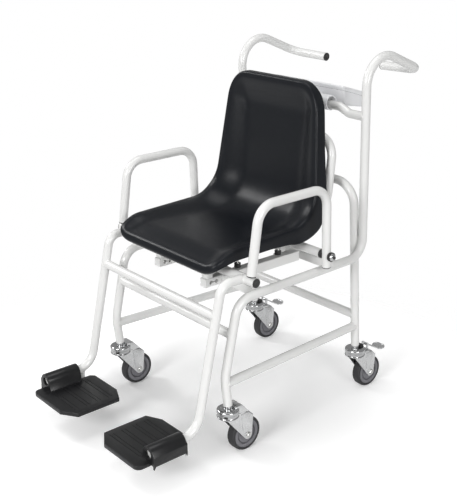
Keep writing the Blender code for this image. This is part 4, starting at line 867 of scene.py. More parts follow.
@dataclass
class WeldedFrame:
    """The side frames, the rear arch and everything welded between them."""

    tubing: Tubing = Tubing()
    side_route: Route = Route(
        (
            (0.2565, -0.2699, 0.156), (0.2565, -0.2805, 0.237), (0.2565, -0.2351, 0.4520),
            (0.2565, 0.2492, 0.4605), (0.2565, 0.2258, 1.0723), (0.2565, 0.4606, 0.9787),
            (0.1159, 0.4606, 0.9760),
        ),
        (0.12, 0.058, 0.055, 0.077, 0.045),
    )
    arch_route: Route = Route(
        (
            (0.2308, 0.2682, 0.156), (0.2308, 0.2268, 0.6755),
            (-0.2308, 0.2268, 0.6755), (-0.2308, 0.2682, 0.156),
        ),
        (0.065, 0.065),
    )
    front_tube_z: float = 0.358
    side_rail_z: float = 0.222
    rear_tube_z: float = 0.258
    cross_y: float = 0.2334
    cross_route: tuple[Pair, ...] = ((0.2565, 0.873), (0.196, 0.873), (0.160, 0.888))
    cross_bend: float = 0.040
    seam_heights: Pair = (0.505, 0.585)
    seam_half: float = 0.014
    beads: list[BMesh] = field(default_factory=list)

    def build(self) -> None:
        """Builds the frame's tubes, their plugs and their welds."""
        self.build_side_frames()
        self.build_arch()
        self.build_low_tubes()
        self.build_display_tube()
        piece("frame_welds", gathered(self.beads), ENAMEL)

    def build_side_frames(self) -> None:
        """Builds the two bent side frames with the plugs in their handles."""
        for side in Side:
            shape = self.tubing.bent(self.side_route, side, mouths=(False, True))
            stand_in(f"side_frame_{side.label}", "tube", shape, ENAMEL)
            corners = self.side_route.on(side)
            plug = end_plug(corners[-1], corners[-1] - corners[-2], self.tubing.radius)
            stand_in(f"handle_cap_{side.label}", "plug", plug, PLASTIC)

    def build_arch(self) -> None:
        """Builds the rear arch and the weld along each post."""
        shape = tube(self.arch_route.corners, self.arch_route.bends, self.tubing.radius)
        stand_in("rear_arch", "tube", shape, ENAMEL)
        steps = (-self.seam_half, self.seam_half)
        for side in Side:
            for height in self.seam_heights:
                seam = (self.arch_route.at_height(0, height) + self.side_route.at_height(3, height)) / 2
                for turn in (1, -1):
                    seam_y = seam.y + turn * self.tubing.bead * 2
                    ends = [side.across((seam.x, seam_y, height + step)) for step in steps]
                    self.beads.append(tube(ends, (), self.tubing.bead, sides=self.tubing.bead_sides))

    def build_low_tubes(self) -> None:
        """Builds the tubes that join the legs."""
        for name, legs, run, height in (
            ("lower_front_cross_tube", self.side_route, 1, self.front_tube_z),
            ("lower_rear_cross_tube", self.arch_route, 0, self.rear_tube_z),
        ):
            ends = [side.across(legs.at_height(run, height)) for side in Side]
            stand_in(name, "run", self.tubing.straight(*ends), ENAMEL)
            self.beads += self.tubing.cross_welds(ends, legs.way(run))
        for side in Side:
            front = side.across(self.side_route.at_height(0, self.side_rail_z))
            rear = side.across(self.arch_route.at_height(0, self.side_rail_z))
            stand_in(f"lower_side_rail_{side.label}", "run", self.tubing.straight(front, rear), ENAMEL)
            self.beads.append(self.tubing.weld(front, rear - front, self.side_route.way(0)))
            self.beads.append(self.tubing.weld(rear, front - rear, self.arch_route.way(0)))

    def build_display_tube(self) -> None:
        """Builds the raised cross tube that carries the display."""
        left = [(x, self.cross_y, z) for x, z in self.cross_route]
        right = [(-x, y, z) for x, y, z in reversed(left)]
        shape = tube(left + right, (self.cross_bend,) * 4, self.tubing.radius)
        stand_in("display_cross_tube", "run", shape, WET_ENAMEL)
        self.beads += self.tubing.cross_welds((left[0], right[-1]), self.side_route.way(3))


def end_plug(
    mouth: Vector,
    way: Vector,
    radius: float,
    flange: float = 0.0032,
    hole: float = 0.0,
) -> BMesh:
    """Draws a push-in end plug with a domed, dimpled face.

    Args:
        mouth: The middle of the tube's mouth.
        way: The way out of the tube.
        radius: The tube's outer radius.
        flange: The height of the plug's flange.
        hole: The radius of a hole right through it, or nought.

    Returns:
        The plug.
    """
    lip, wall, depth, edge = 0.0002, 0.0024, 0.012, 0.0016
    rim, stem = radius + lip, radius - wall
    dimple, width = flange * 0.7, rim - hole
    profile = [
        (hole, -depth), (stem, -depth), (stem, lip), (rim, lip), (rim, flange * 0.55),
        (rim - edge, flange), (hole + width * 0.42, flange), (hole + width * 0.34, dimple), (hole, dimple),
    ]
    return spun(profile, way.normalized(), mouth, rounding=0.0003, segments=1)


# The weighed frame, the armrests and the footrest hangers


@dataclass
class WeighedFrame:
    """What the load cells carry: the support tubes, the back loop and the hangers."""

    tubing: Tubing = Tubing()
    front: Triple = (0.3030, -0.2145, 0.5095)
    rear: Triple = (0.2680, 0.0610, 0.5155)
    foot_x: float = 0.105
    foot_size: float = 0.024
    foot_length: float = 0.020
    foot_edge: float = 0.0012
    front_flange: float = 0.0032
    rear_flange: float = 0.0082
    rear_plug_hole: float = 0.0045
    front_foot_z: float = 0.4654
    rear_foot_z: float = 0.4705
    loop_route: Route = Route(
        (
            (0.198, 0.0785, 0.5330), (0.198, 0.1535, 0.640), (0.198, 0.1700, 0.812),
            (-0.198, 0.1700, 0.812), (-0.198, 0.1535, 0.640), (-0.198, 0.0785, 0.5330),
        ),
        (0.040, 0.080, 0.058, 0.058, 0.080, 0.040),
    )
    hanger_route: Route = Route(
        (
            (0.2555, -0.2145, 0.5095), (0.2555, -0.2900, 0.5105),
            (0.2555, -0.3779, 0.1108), (0.2555, -0.5290, 0.1108),
        ),
        (0.038, 0.062),
    )
    hanger_cross_z: float = 0.4255
    peg_y: float = -0.4100
    peg_radius: float = 0.0065
    peg_foot_z: float = 0.056
    peg_top_z: float = 0.108
    peg_edge: float = 0.0008
    peg_weld: Triple = (0.0082, 0.0985, 0.1005)
    peg_weld_bore: float = 0.004
    beads: list[BMesh] = field(default_factory=list)

    def build(self) -> None:
        """Builds the weighed frame's pieces."""
        self.build_supports()
        loop = tube(self.loop_route.corners, self.loop_route.bends, self.tubing.radius, closed=True)
        stand_in("back_loop", "tube", loop, ENAMEL)
        self.build_hangers()
        piece("weighed_frame_welds", gathered(self.beads), ENAMEL)

    def build_supports(self) -> None:
        """Builds the two support tubes with their feet and end plugs."""
        for end, (half, y, z), foot_z, flange, hole in (
            ("front", self.front, self.front_foot_z, self.front_flange, 0.0),
            ("rear", self.rear, self.rear_foot_z, self.rear_flange, self.rear_plug_hole),
        ):
            parts = [tube([(-half, y, z), (half, y, z)], (), self.tubing.radius, mouths=(True, True))]
            for side in Side:
                middle = side.value * self.foot_x
                low = (middle - self.foot_size / 2, y - self.foot_length / 2, foot_z)
                high = (middle + self.foot_size / 2, y + self.foot_length / 2, z)
                parts.append(block(low, high, self.foot_edge))
                mouth, way = side.across((half, y, z)), side.across(ACROSS)
                plug = end_plug(mouth, way, self.tubing.radius, flange, hole)
                stand_in(f"{end}_tube_cap_{side.label}", "plug", plug, PLASTIC)
            stand_in(f"{end}_support_tube", "run", gathered(parts), ENAMEL)

    def build_hangers(self) -> None:
        """Builds the bent tubes that carry the footplates, with their stop pegs."""
        peg = rod(self.peg_radius, self.peg_foot_z, self.peg_top_z)
        collar = rod(*self.peg_weld, bore=self.peg_weld_bore)
        for side in Side:
            route = self.hanger_route.on(side)
            run = self.tubing.bent(self.hanger_route, side, mouths=(False, True))
            foot = (route[0].x, self.peg_y, 0)
            parts = [run, spun(peg, UP, foot, steps=28, rounding=self.peg_edge)]
            stand_in(f"footrest_hanger_{side.label}", "tube", gathered(parts), ENAMEL)
            self.beads.append(self.tubing.weld(route[0], route[1] - route[0], Vector(ACROSS)))
            self.beads.append(spun(collar, UP, foot, steps=28, rounding=self.peg_edge))
        ends = [side.across(self.hanger_route.at_height(1, self.hanger_cross_z)) for side in Side]
        stand_in("hanger_cross_tube", "run", self.tubing.straight(*ends), ENAMEL)
        self.beads += self.tubing.cross_welds(ends, self.hanger_route.way(1))


@dataclass
class Armrests:
    """The two armrests that swing up about the rear support tube."""

    tubing: Tubing = Tubing()
    route: Route = Route(
        (
            (0.2892, -0.2184, 0.5268), (0.2892, -0.1926, 0.7090),
            (0.2892, 0.0524, 0.7115), (0.2892, 0.0619, 0.4820),
        ),
        (0.055, 0.053),
    )
    pivot: Triple = (0.0, 0.0610, 0.5155)
    knob_foot: float = 0.3022
    knob_radius: float = 0.0130
    knob_length: float = 0.0090
    knob_bore: float = 0.0035
    knob_recess: float = 0.0015
    knob_lobes: int = 18
    lobe_depth: float = 0.0006
    lobe_width: float = 0.0015
    hub_share: float = 0.86
    tip_radius: float = 0.0044
    bolt_start: float = 0.256
    bolt_radius: float = 0.004

    def build(self) -> None:
        """Builds each armrest with its plugs and its pivot knob."""
        for side in Side:
            body = f"armrest_{side.label}"
            stand_in(body, "tube", self.tubing.bent(self.route, side, mouths=(True, True)), ENAMEL, body)
            corners = self.route.on(side)
            for end, mouth, inner in (("front", *corners[:2]), ("rear", *corners[:-3:-1])):
                plug = end_plug(mouth, mouth - inner, self.tubing.radius)
                stand_in(f"armrest_plug_{end}_{side.label}", "cap", plug, PLASTIC, body)
            self.build_knob(side)

    def build_knob(self, side: Side) -> None:
        """Builds the pivot bolt with its grooved hand knob."""
        way = side.across(ACROSS)
        body = f"armrest_knob_{side.label}"
        foot, rim = self.knob_foot, self.knob_foot + self.knob_length
        hub, face = self.knob_radius * self.hub_share, rim - self.knob_recess
        profile = [
            (self.knob_bore, foot), (self.knob_radius, foot), (self.knob_radius, rim),
            (hub + 0.0006, rim), (hub, face), (self.knob_bore, face),
        ]
        knob = spun(profile, UP, ORIGIN, steps=4 * self.knob_lobes, rounding=0.0009)
        for vert in knob.verts:
            reach = vert.co.xy.length
            if reach > self.knob_radius - self.lobe_width:
                turn = math.atan2(vert.co.y, vert.co.x)
                share = 1 - self.lobe_depth / reach * (1 + math.cos(self.knob_lobes * turn)) / 2
                vert.co.xy *= share
        bmesh.ops.transform(knob, matrix=frame_of(way, Vector(self.pivot)), verts=knob.verts)
        stand_in(body, "grip", knob, PLASTIC, body)
        cap = [
            (0, rim - 0.004), (hub - 0.0002, rim - 0.004), (hub - 0.0002, rim + 0.0006),
            (hub * 0.90, rim + 0.0026), (hub * 0.68, rim + 0.0044), (self.tip_radius, rim + 0.0054),
            (0, rim + 0.0054),
        ]
        bolt = rod(self.bolt_radius, self.bolt_start, foot + 0.001)
        metal = [spun(cap, way, self.pivot, steps=40, rounding=0.0004), spun(bolt, way, self.pivot, steps=28)]
        piece(f"{body}_bolt", gathered(metal), CHROME, body)
        low, high = rim + 0.005, rim + 0.0092
        tip = [(0, low), (self.tip_radius, low), (self.tip_radius, high), (0, high + 0.0006)]
        piece(f"{body}_tip", spun(tip, way, self.pivot, steps=28, rounding=0.0006), PLASTIC, body)


# The seat shell


@dataclass
class MiddleLine:
    """A rounded line in the chair's middle plane, measured along its length."""

    route: Route
    step: float = math.radians(2)
    slope_reach: float = 0.006
    spots: list[Vector] = field(default_factory=list)
    stops: list[float] = field(default_factory=list)

    def __post_init__(self) -> None:
        """Rounds the corners and measures how far along each point lies."""
        corners = [Vector(corner) for corner in self.route.corners]
        self.spots = [corners[0]]
        for before, corner, after, bend in zip(corners, corners[1:], corners[2:], self.route.bends):
            into, out = (corner - before).normalized(), (after - corner).normalized()
            turn = into.angle(out)
            start = corner - into * (bend * math.tan(turn / 2))
            axis = into.cross(out).normalized()
            centre = start + axis.cross(into) * bend
            steps = math.ceil(turn / self.step)
            for index in range(steps + 1):
                spin = Matrix.Rotation(turn * index / steps, 3, axis)
                self.spots.append(centre + spin @ (start - centre))
        self.spots.append(corners[-1])
        self.stops = [0.0]
        for first, second in zip(self.spots, self.spots[1:]):
            self.stops.append(self.stops[-1] + (second - first).length)

    @property
    def length(self) -> float:
        """The whole length of the line."""
        return self.stops[-1]

    def nearest(self, place: Sequence[float]) -> float:
        """Returns how far along the line is nearest to a place."""
        gaps = [(spot - Vector(place)).length for spot in self.spots]
        return self.stops[gaps.index(min(gaps))]

    def at(self, along: float) -> Vector:
        """Returns the place on the line, which runs straight on past its ends."""
        index = 0
        while index < len(self.spots) - 2 and self.stops[index + 1] < along:
            index += 1
        share = (along - self.stops[index]) / (self.stops[index + 1] - self.stops[index])
        return self.spots[index].lerp(self.spots[index + 1], share)

    def normal(self, along: float) -> Vector:
        """Returns the way that the seat's upper face looks."""
        way = self.at(along + self.slope_reach) - self.at(along - self.slope_reach)
        return Vector((0, -way.z, way.y)).normalized()


def eased(share: float) -> float:
    """Returns a share from nought to one, eased in and out."""
    share = min(max(share, 0.0), 1.0)
    return share * share * (3 - 2 * share)


def read_off(table: Sequence[Pair], place: float) -> float:
    """Returns the value at a place in a table of (place, value) pairs."""
    for (low, first), (high, second) in zip(table, table[1:]):
        if place <= high:
            return first + (second - first) * max(0.0, place - low) / (high - low)
    return table[-1][1]


@dataclass
class SeatShell:
    """The moulded seat: a dished face inside a rolled rim, with a tapering skirt.

    The shape is drawn on an unrolled plane, along the rim's line and across it,
    and then bent along the line. The tables give a measure from the front edge,
    at -1, over the fold, at 0, to the top edge, at 1.
    """

    line: MiddleLine = field(default_factory=lambda: MiddleLine(Route(
        (
            (0, -0.2925, 0.5170), (0, -0.2845, 0.5460), (0, -0.2300, 0.5745),
            (0, 0.0812, 0.5870), (0, 0.1163, 0.9680),
        ),
        (0.030, 0.090, 0.100),
    )))
    fold_place: Triple = (0, 0.0812, 0.5870)
    half_width: float = 0.222
    top_half_width: float = 0.179
    front_corner: float = 0.050
    top_corner: float = 0.078
    wall: float = 0.0045
    ridge: float = 0.0150
    face_start: float = 0.034
    grid_columns: int = 36
    grid_rows: int = 66
    flare: float = 0.002
    dish_depths: tuple[Pair, ...] = (
        (-1, 0.008), (-0.85, 0.012), (-0.5, 0.018), (0, 0.030), (0.3, 0.030), (0.75, 0.026), (1, 0.020),
    )
    dish_widths: tuple[Pair, ...] = (
        (-1, 0.045), (-0.6, 0.075), (-0.15, 0.110), (0.05, 0.115), (0.35, 0.110), (0.75, 0.090), (1, 0.070),
    )
    skirt_depths: tuple[Pair, ...] = (
        (-1, 0.012), (-0.92, 0.016), (-0.78, 0.028), (-0.4, 0.031), (-0.22, 0.037), (-0.08, 0.054),
        (0, 0.062), (0.08, 0.056), (0.22, 0.042), (0.5, 0.034), (0.9, 0.030), (1, 0.022),
    )
    face_insets: tuple[float, ...] = (0.0270, 0.0215, 0.0175)
    roll: tuple[Pair, ...] = (
        (0.0145, -0.0002), (0.0115, 0.0), (0.0070, 0.0), (0.0038, -0.0007), (0.0014, -0.0028), (0.0, -0.0060),
    )
    skirt_rows: tuple[float, ...] = (0.25, 0.6, 0.95, 1.0)
    boss_radius: float = 0.010
    boss_draft: float = 0.0008
    boss_foot_z: float = 0.5460
    boss_top_z: float = 0.5610
    boss_x: float = 0.174
    boss_places: tuple[tuple[str, float], ...] = (("front", -0.165), ("rear", -0.015))
    stud_radius: float = 0.0032
    stud_overlap: float = 0.002
    washer_radius: float = 0.00684
    washer_height: float = 0.0012
    washer_overlap: float = 0.0002
    buffer_radius: float = 0.0095
    buffer_waist: float = 0.0087
    buffer_foot_z: float = 0.5043
    buffer_top_z: float = 0.5165

    def build(self) -> None:
        """Builds the shell, its fixing bosses, and the studs and rubber buffers under them."""
        shell = piece("moulded_seat", self.draw(), SHELL, "frame", ("seat_shell",), sharp=math.pi)
        thick = shell.modifiers.new("wall", "SOLIDIFY")
        thick.thickness, thick.offset, thick.use_even_offset = self.wall, -1.0, True
        smooth = shell.modifiers.new("smooth", "SUBSURF")
        smooth.levels = smooth.render_levels = 1
        low, high, top = self.buffer_foot_z, self.buffer_top_z, self.boss_foot_z
        boss = [
            (0, top), (self.boss_radius, top), (self.boss_radius + self.boss_draft, self.boss_top_z),
            (0, self.boss_top_z),
        ]
        stud = rod(self.stud_radius, high - self.stud_overlap, top + self.stud_overlap)
        washer = rod(self.washer_radius, high - self.washer_overlap, high + self.washer_height)
        buffer = [
            (0, low), (self.buffer_radius, low), (self.buffer_waist, (low + high) / 2),
            (self.buffer_radius, high), (0, high),
        ]
        bosses, studs = [], []
        for end, y in self.boss_places:
            for side in Side:
                foot = (side.value * self.boss_x, y, 0)
                bosses.append(spun(boss, UP, foot, steps=36, rounding=0.0006))
                studs += [spun(outline, UP, foot, steps=32, rounding=0.0003) for outline in (stud, washer)]
                shape = spun(buffer, UP, foot, steps=36, rounding=0.0012)
                stand_in(f"seat_buffer_{end}_{side.label}", "foot", shape, RUBBER)
        piece("moulded_seat_bosses", gathered(bosses), SHELL)
        piece("moulded_seat_studs", gathered(studs), ZINC_FASTENER)

    def draw(self) -> BMesh:
        """Draws the shell's upper face, rim and skirt as one open sheet."""
        bm = bmesh.new()
        bmesh.ops.create_grid(bm, x_segments=self.grid_columns, y_segments=self.grid_rows, size=1.0)
        edges = [edge for edge in bm.edges if edge.is_boundary]
        flat = {vert: self.rounded(vert.co.x, vert.co.y) for vert in bm.verts}
        for vert, (across, along) in flat.items():
            vert.co = self.placed(across, along, self.dish(across, along))
        for inset in self.face_insets:
            edges = self.next_ring(bm, flat, edges, inset, self.dish)
        for inset, height in self.roll:
            edges = self.next_ring(bm, flat, edges, inset, lambda *_, level=height: level)
        for share in self.skirt_rows:
            edges = self.next_ring(bm, flat, edges, -self.flare * share, self.skirt_at(share))
        return bm

    def skirt_at(self, share: float) -> Callable[[float, float], float]:
        """Returns the height of the skirt's ring at a share of its depth."""
        top = self.roll[-1][1]
        return lambda across, along: top - share * (top + self.measured(self.skirt_depths, along))

    def next_ring(
        self,
        bm: BMesh,
        flat: dict[BMVert, Pair],
        edges: list[BMEdge],
        inset: float,
        height_of: Callable[[float, float], float],
    ) -> list[BMEdge]:
        """Draws the sheet's edge out to the next ring of the rounded outline.

        Args:
            bm: The sheet.
            flat: Each vertex's place on the unrolled plane.
            edges: The sheet's edge so far.
            inset: How far inside the outline the new ring runs.
            height_of: The new ring's height over the line at a place.

        Returns:
            The new edge.
        """
        old = {vert for edge in edges for vert in edge.verts}
        made = run_on(bm, edges, Vector())
        for vert in {vert for edge in made for vert in edge.verts}:
            before = next(edge.other_vert(vert) for edge in vert.link_edges if edge.other_vert(vert) in old)
            across, along = flat[before]
            room = self.corner(along)
            half = self.half_width - room
            core = Vector((min(max(across, -half), half), min(max(along, room), self.line.length - room)))
            way = (Vector((across, along)) - core).normalized()
            spot = core + way * (room - inset)
            flat[vert] = tuple(spot)
            vert.co = self.placed(*spot, height_of(*spot))
        return made

    def corner(self, along: float) -> float:
        """Returns the radius of the outline's corners at the nearer end."""
        return self.front_corner if along < self.line.length / 2 else self.top_corner

    def rounded(self, u: float, v: float) -> Pair:
        """Returns the place in the rounded outline for a place in the square grid."""
        half, span = self.half_width - self.face_start, self.line.length / 2 - self.face_start
        radius = self.corner(self.line.length / 2 + v) - self.face_start
        level = max(abs(u), abs(v)) or 1.0
        spot = Vector((u / level * half, v / level * span))
        core = Vector((math.copysign(half - radius, spot.x), math.copysign(span - radius, spot.y)))
        if abs(spot.x) > abs(core.x) and abs(spot.y) > abs(core.y):
            spot = core + (spot - core).normalized() * radius
        return spot.x * level, self.line.length / 2 + spot.y * level

    def dish(self, across: float, along: float) -> float:
        """Returns the face's height, which falls from the rim to the middle."""
        corner = self.corner(along)
        side_room = self.half_width - corner - abs(across)
        end_room = min(along - corner, self.line.length - corner - along)
        if min(side_room, end_room) > 0:
            inset = corner + min(side_room, end_room)
        else:
            inset = corner - math.hypot(min(side_room, 0), min(end_room, 0))
        width = self.measured(self.dish_widths, along)
        return -self.measured(self.dish_depths, along) * eased((inset - self.ridge) / (width - self.ridge))

    def measured(self, table: Sequence[Pair], along: float) -> float:
        """Returns a measure from one of the tables at a length along the line."""
        fold, length = self.line.nearest(self.fold_place), self.line.length
        place = along / fold - 1 if along < fold else (along - fold) / (length - fold)
        return read_off(table, place)

    def placed(self, across: float, along: float, height: float) -> Vector:
        """Returns the bent place of a place on the unrolled plane."""
        fold, length = self.line.nearest(self.fold_place), self.line.length
        past = max(0.0, along - fold) / (length - fold)
        narrow = 1 - past * (1 - self.top_half_width / self.half_width)
        spot = self.line.at(along) + self.line.normal(along) * height
        return Vector((across * narrow, spot.y, spot.z))


# The footplates


@dataclass
class Footplates:
    """The two fold-up footplates, each moulded in one piece with its hood."""

    tube_x: float = 0.2555
    tube_z: float = 0.1108
    bore_radius: float = 0.0131
    top_z: float = 0.0905
    thickness: float = 0.012
    inner_x: float = 0.0645
    outer_x: float = 0.262
    rear_outer_x: float = 0.239
    front_y: float = -0.576
    rear_y: float = -0.384
    chamfer_x: float = 0.047
    chamfer_front: float = 0.031
    chamfer_rear: float = 0.023
    outer_round: float = 0.018
    rear_round: float = 0.012
    hub_radius: float = 0.0225
    hub_front_y: float = -0.537
    hub_rear_y: float = -0.430
    hub_wall_x: float = 0.0275
    hub_fillet_x: float = 0.030
    ear_low_z: float = 0.076
    ear_width: float = 0.009
    ear_thickness: float = 0.006
    groove_width: float = 0.0028
    groove_depth: float = 0.0012
    groove_pairs: int = 4
    groove_pitch: float = 0.037
    groove_step: float = 0.011
    groove_first_y: float = -0.418
    groove_inner_x: float = 0.086
    groove_outer_x: float = 0.222
    edge: float = 0.0016
    hood_edge: float = 0.0009
    groove_edge: float = 0.0005
    hood_start: float = math.radians(35)
    hood_end: float = math.radians(170)
    arc_steps: int = 10

    def build(self) -> None:
        """Builds both footplates."""
        for side in Side:
            shape = self.draw()
            bmesh.ops.scale(shape, verts=shape.verts, vec=(side.value, 1, 1))
            name = f"footplate_{side.label}"
            stand_in(name, "moulding", shape, TREAD_PLATE, name)

    def draw(self) -> BMesh:
        """Draws the left footplate."""
        foot = self.top_z - self.thickness
        pad = plate([(x, y, foot) for x, y in self.pad_outline()], (0, 0, self.thickness), self.edge, 3)
        length = self.hub_rear_y - self.hub_front_y
        outline = [(x, self.hub_front_y, z) for x, z in self.hood_outline()]
        hood = plate(outline, (0, length, 0), self.hood_edge)
        wall_x = self.tube_x + self.hub_wall_x
        joins = [hood]
        for end_y, inward in ((self.hub_front_y, self.ear_width), (self.hub_rear_y, -self.ear_width)):
            corners = [(end_y, self.top_z), (end_y, self.ear_low_z), (end_y + inward, self.top_z)]
            outline = [(wall_x - self.ear_thickness, y, z) for y, z in corners]
            joins.append(plate(outline, (self.ear_thickness, 0, 0)))
        axis_point = (self.tube_x, self.hub_front_y - length / 2, self.tube_z)
        bore = spun(rod(self.bore_radius, 0, 2 * length), (0, 1, 0), axis_point)
        return carved(pad, [bore, *self.grooves()], joins)

    def pad_outline(self) -> list[Pair]:
        """Returns the footplate's outline seen from above."""
        centre = (self.outer_x - self.outer_round, self.front_y + self.outer_round)
        waist_x, rear_x = self.inner_x + self.chamfer_x, self.rear_outer_x
        return [
            (self.inner_x, self.rear_y - self.chamfer_rear),
            (self.inner_x, self.front_y + self.chamfer_front),
            (waist_x, self.front_y), *arc(centre, self.outer_round, -QUARTER, 0.0, self.arc_steps),
            (self.outer_x, self.hub_rear_y), (rear_x, self.hub_rear_y),
            (rear_x, self.rear_y - self.rear_round), (rear_x - self.rear_round, self.rear_y),
            (waist_x, self.rear_y),
        ]

    def hood_outline(self) -> list[Pair]:
        """Returns the hood's outline seen from the front."""
        wall_x, foot_z = self.tube_x + self.hub_wall_x, self.top_z - self.thickness / 2
        inner_x = self.tube_x - self.hub_fillet_x
        middle, steps = (self.tube_x, self.tube_z), 3 * self.arc_steps
        low_x = self.tube_x - (self.hub_radius + self.hub_fillet_x) / 2
        low_z = (self.top_z + self.tube_z) / 2 - self.thickness / 4
        return [
            (inner_x, foot_z), (wall_x, foot_z), (wall_x, self.tube_z),
            *arc(middle, self.hub_radius, self.hood_start, self.hood_end, steps),
            (low_x, low_z), (inner_x, self.top_z),
        ]

    def grooves(self) -> list[BMesh]:
        """Returns the cutters for the pairs of grip grooves."""
        cutters = []
        stop_x = self.tube_x - self.hub_fillet_x - self.groove_width
        for index in range(2 * self.groove_pairs):
            y = self.groove_first_y - index // 2 * self.groove_pitch - index % 2 * self.groove_step
            outer = stop_x if self.hub_front_y < y < self.hub_rear_y else self.groove_outer_x
            low = (self.groove_inner_x, y - self.groove_width / 2, self.top_z - self.groove_depth)
            high = (
                min(outer, self.groove_outer_x), y + self.groove_width / 2, self.top_z + self.groove_depth,
            )
            cutters.append(block(low, high, self.groove_edge, 1))
        return cutters


# The castors


@dataclass
class Castors:
    """Four swivel castors, drawn about a stem that stands at the origin.

    The front pair has a tall hood over the fork. The rear pair has a brake pedal
    on two ears, with a short block in front of it.
    """

    front: Pair = (0.2565, -0.2699)
    rear: Pair = (0.2308, 0.2690)
    front_collar_z: float = 0.1540
    rear_collar_z: float = 0.1546
    trail: float = 0.0572
    wheel_radius: float = 0.050
    wheel_width: float = 0.028
    tyre_inner: float = 0.0405
    groove_radius: float = 0.0290
    groove_width: float = 0.0026
    groove_depth: float = 0.0075
    shoulder: float = 0.0048
    bore: float = 0.0065
    boss: float = 0.013
    boss_width: float = 0.0315
    half_gap: float = 0.0165
    sheet: float = 0.003
    raised: float = 0.0011
    tip: float = 0.014
    tip_start: float = math.radians(215)
    tip_end: float = math.radians(370)
    tip_steps: int = 14
    fork_front_y: float = -0.024
    fork_rear: Pair = (0.076, 0.107)
    fork_knee: Pair = (0.058, 0.124)
    crease_y: float = 0.031
    ring_radius: float = 0.031
    ring_top_z: float = 0.1455
    ring_split_z: float = 0.1335
    ring_foot_z: float = 0.1205
    band_radius: float = 0.0290
    collar_radius: float = 0.0105
    stem_radius: float = 0.0070
    stem_top_z: float = 0.168
    hood_front_y: float = 0.0125
    hood_crest_y: float = 0.035
    hood_slope: Pair = (0.050, 0.1345)
    hood_clearance: float = 0.0025
    block_length: float = 0.014
    block_half_width: float = 0.012
    block_overlap: float = 0.002
    block_edge: float = 0.0016
    nut_radius: float = 0.0078
    hinge: Pair = (0.046, 0.145)
    ear_half_gap: float = 0.0085
    ear_sheet: float = 0.0025
    ear_half: float = 0.0045
    ear_edge: float = 0.0011
    pin_radius: float = 0.0020
    pin_overhang: float = 0.0012
    pin_head_radius: float = 0.0030
    pin_head: float = 0.001
    barrel_radius: float = 0.0045
    pin_hole: float = 0.0025
    arm_length: float = 0.064
    arm_slope: float = math.radians(-30.5)
    arm_half_width: float = 0.0135
    arm_shares: tuple[Pair, ...] = ((0, 0.60), (0.20, 0.60), (0.28, 0.78), (0.36, 1.00), (1.00, 1.00))
    pad_length: float = 0.026
    pad_slope: float = math.radians(11)
    pad_half_width: float = 0.022
    pad_shares: tuple[Pair, ...] = (
        (0, 0.62), (0.14, 0.85), (0.30, 0.97), (0.45, 1.00), (0.62, 0.97), (0.80, 0.86), (0.93, 0.68),
        (1.00, 0.46),
    )
    pedal_thickness: float = 0.004
    relief_overlap: float = 0.0004
    relief_start: float = math.radians(232)
    relief_inset: float = 0.0012
    window_way: Triple = (0.63, -0.78, 0)
    window_half: float = 0.0052
    window_foot: float = 0.0052
    window_head: float = 0.0012
    window_sunk: float = 0.004
    window_proud: float = 0.0004
    sheet_edge: float = 0.0004
    relief_edge: float = 0.0009
    low_hood_edge: float = 0.0012
    tall_hood_edge: float = 0.0022
    shaft_radius: float = 0.0058
    leaf_rise: tuple[Pair, ...] = ((0.0030, 0.0), (0.0009, -0.0009))
    leaf_edge: float = 0.0009

    def build(self) -> None:
        """Builds the four castors."""
        for side in Side:
            self.build_castor(f"front_{side.label}", side.across((*self.front, 0)), self.front_collar_z)
        for side in Side:
            stem = side.across((*self.rear, 0))
            self.build_castor(f"rear_{side.label}", stem, self.rear_collar_z)
            self.build_pedal(side, stem)

    def build_castor(self, label: str, stem: Vector, collar_z: float) -> None:
        """Builds one castor's crown, fork and wheel.

        Args:
            label: The castor's end and side.
            stem: The foot of its swivel axis.
            collar_z: The height of its collar, under the tube.
        """
        castor, fork = f"castor_{label}", f"castor_fork_{label}"
        braked = label.startswith("rear")
        stand_in(fork, "sheet", moved(self.fork(braked, collar_z), stem), ZINC, castor)
        piece(f"{fork}_crown", moved(self.crown(collar_z), stem), CHROME, castor)
        piece(f"{fork}_axle", moved(self.axle(), stem), ZINC_FASTENER, castor)
        if braked:
            half, near_y = self.block_half_width, self.hood_front_y
            low = (-half, near_y, self.ring_top_z - self.block_overlap)
            high = (half, near_y + self.block_length, collar_z - self.hood_clearance)
            piece(f"{fork}_block", moved(block(low, high, self.block_edge), stem), PLASTIC, castor)
        else:
            piece(f"{fork}_window", moved(self.window(), stem), PLASTIC, castor)
        wheel, body = f"castor_wheel_{label}", f"wheel_{label}"
        spot = stem + Vector((0, self.trail, self.wheel_radius))
        stand_in(wheel, "tyre", moved(self.tyre(), spot), TYRE, body)
        piece(f"{wheel}_core", moved(self.core(), spot), WHEEL_CORE, body)

    def crown(self, collar_z: float) -> BMesh:
        """Draws the swivel bearing's two races, the collar and the stem."""
        ring, band, collar = self.ring_radius, self.band_radius, self.collar_radius
        foot, split, top = self.ring_foot_z, self.ring_split_z, self.ring_top_z
        profile = [
            (0, foot), (ring - 0.004, foot), (ring, foot + 0.0012), (ring, foot + 0.0034),
            (band + 0.0006, foot + 0.0042), (band, foot + 0.0055), (band, split - 0.0008),
            (band + 0.0005, split), (ring, split + 0.0012), (ring + 0.0002, top - 0.0035),
            (ring - 0.0008, top - 0.0014), (ring - 0.0032, top), (collar + 0.0065, top + 0.0004),
            (collar + 0.0055, top - 0.0006), (collar, top - 0.0006), (collar, collar_z - 0.0008),
            (collar - 0.0008, collar_z), (self.stem_radius, collar_z), (self.stem_radius, self.stem_top_z),
            (0, self.stem_top_z),
        ]
        return spun(profile, UP, ORIGIN, steps=72, rounding=0.0003, segments=1)

    def tip_arc(self, radius: float, start: float) -> list[Pair]:
        """Returns the rounded end of a cheek about the axle."""
        return arc((self.trail, self.wheel_radius), radius, start, self.tip_end, self.tip_steps)

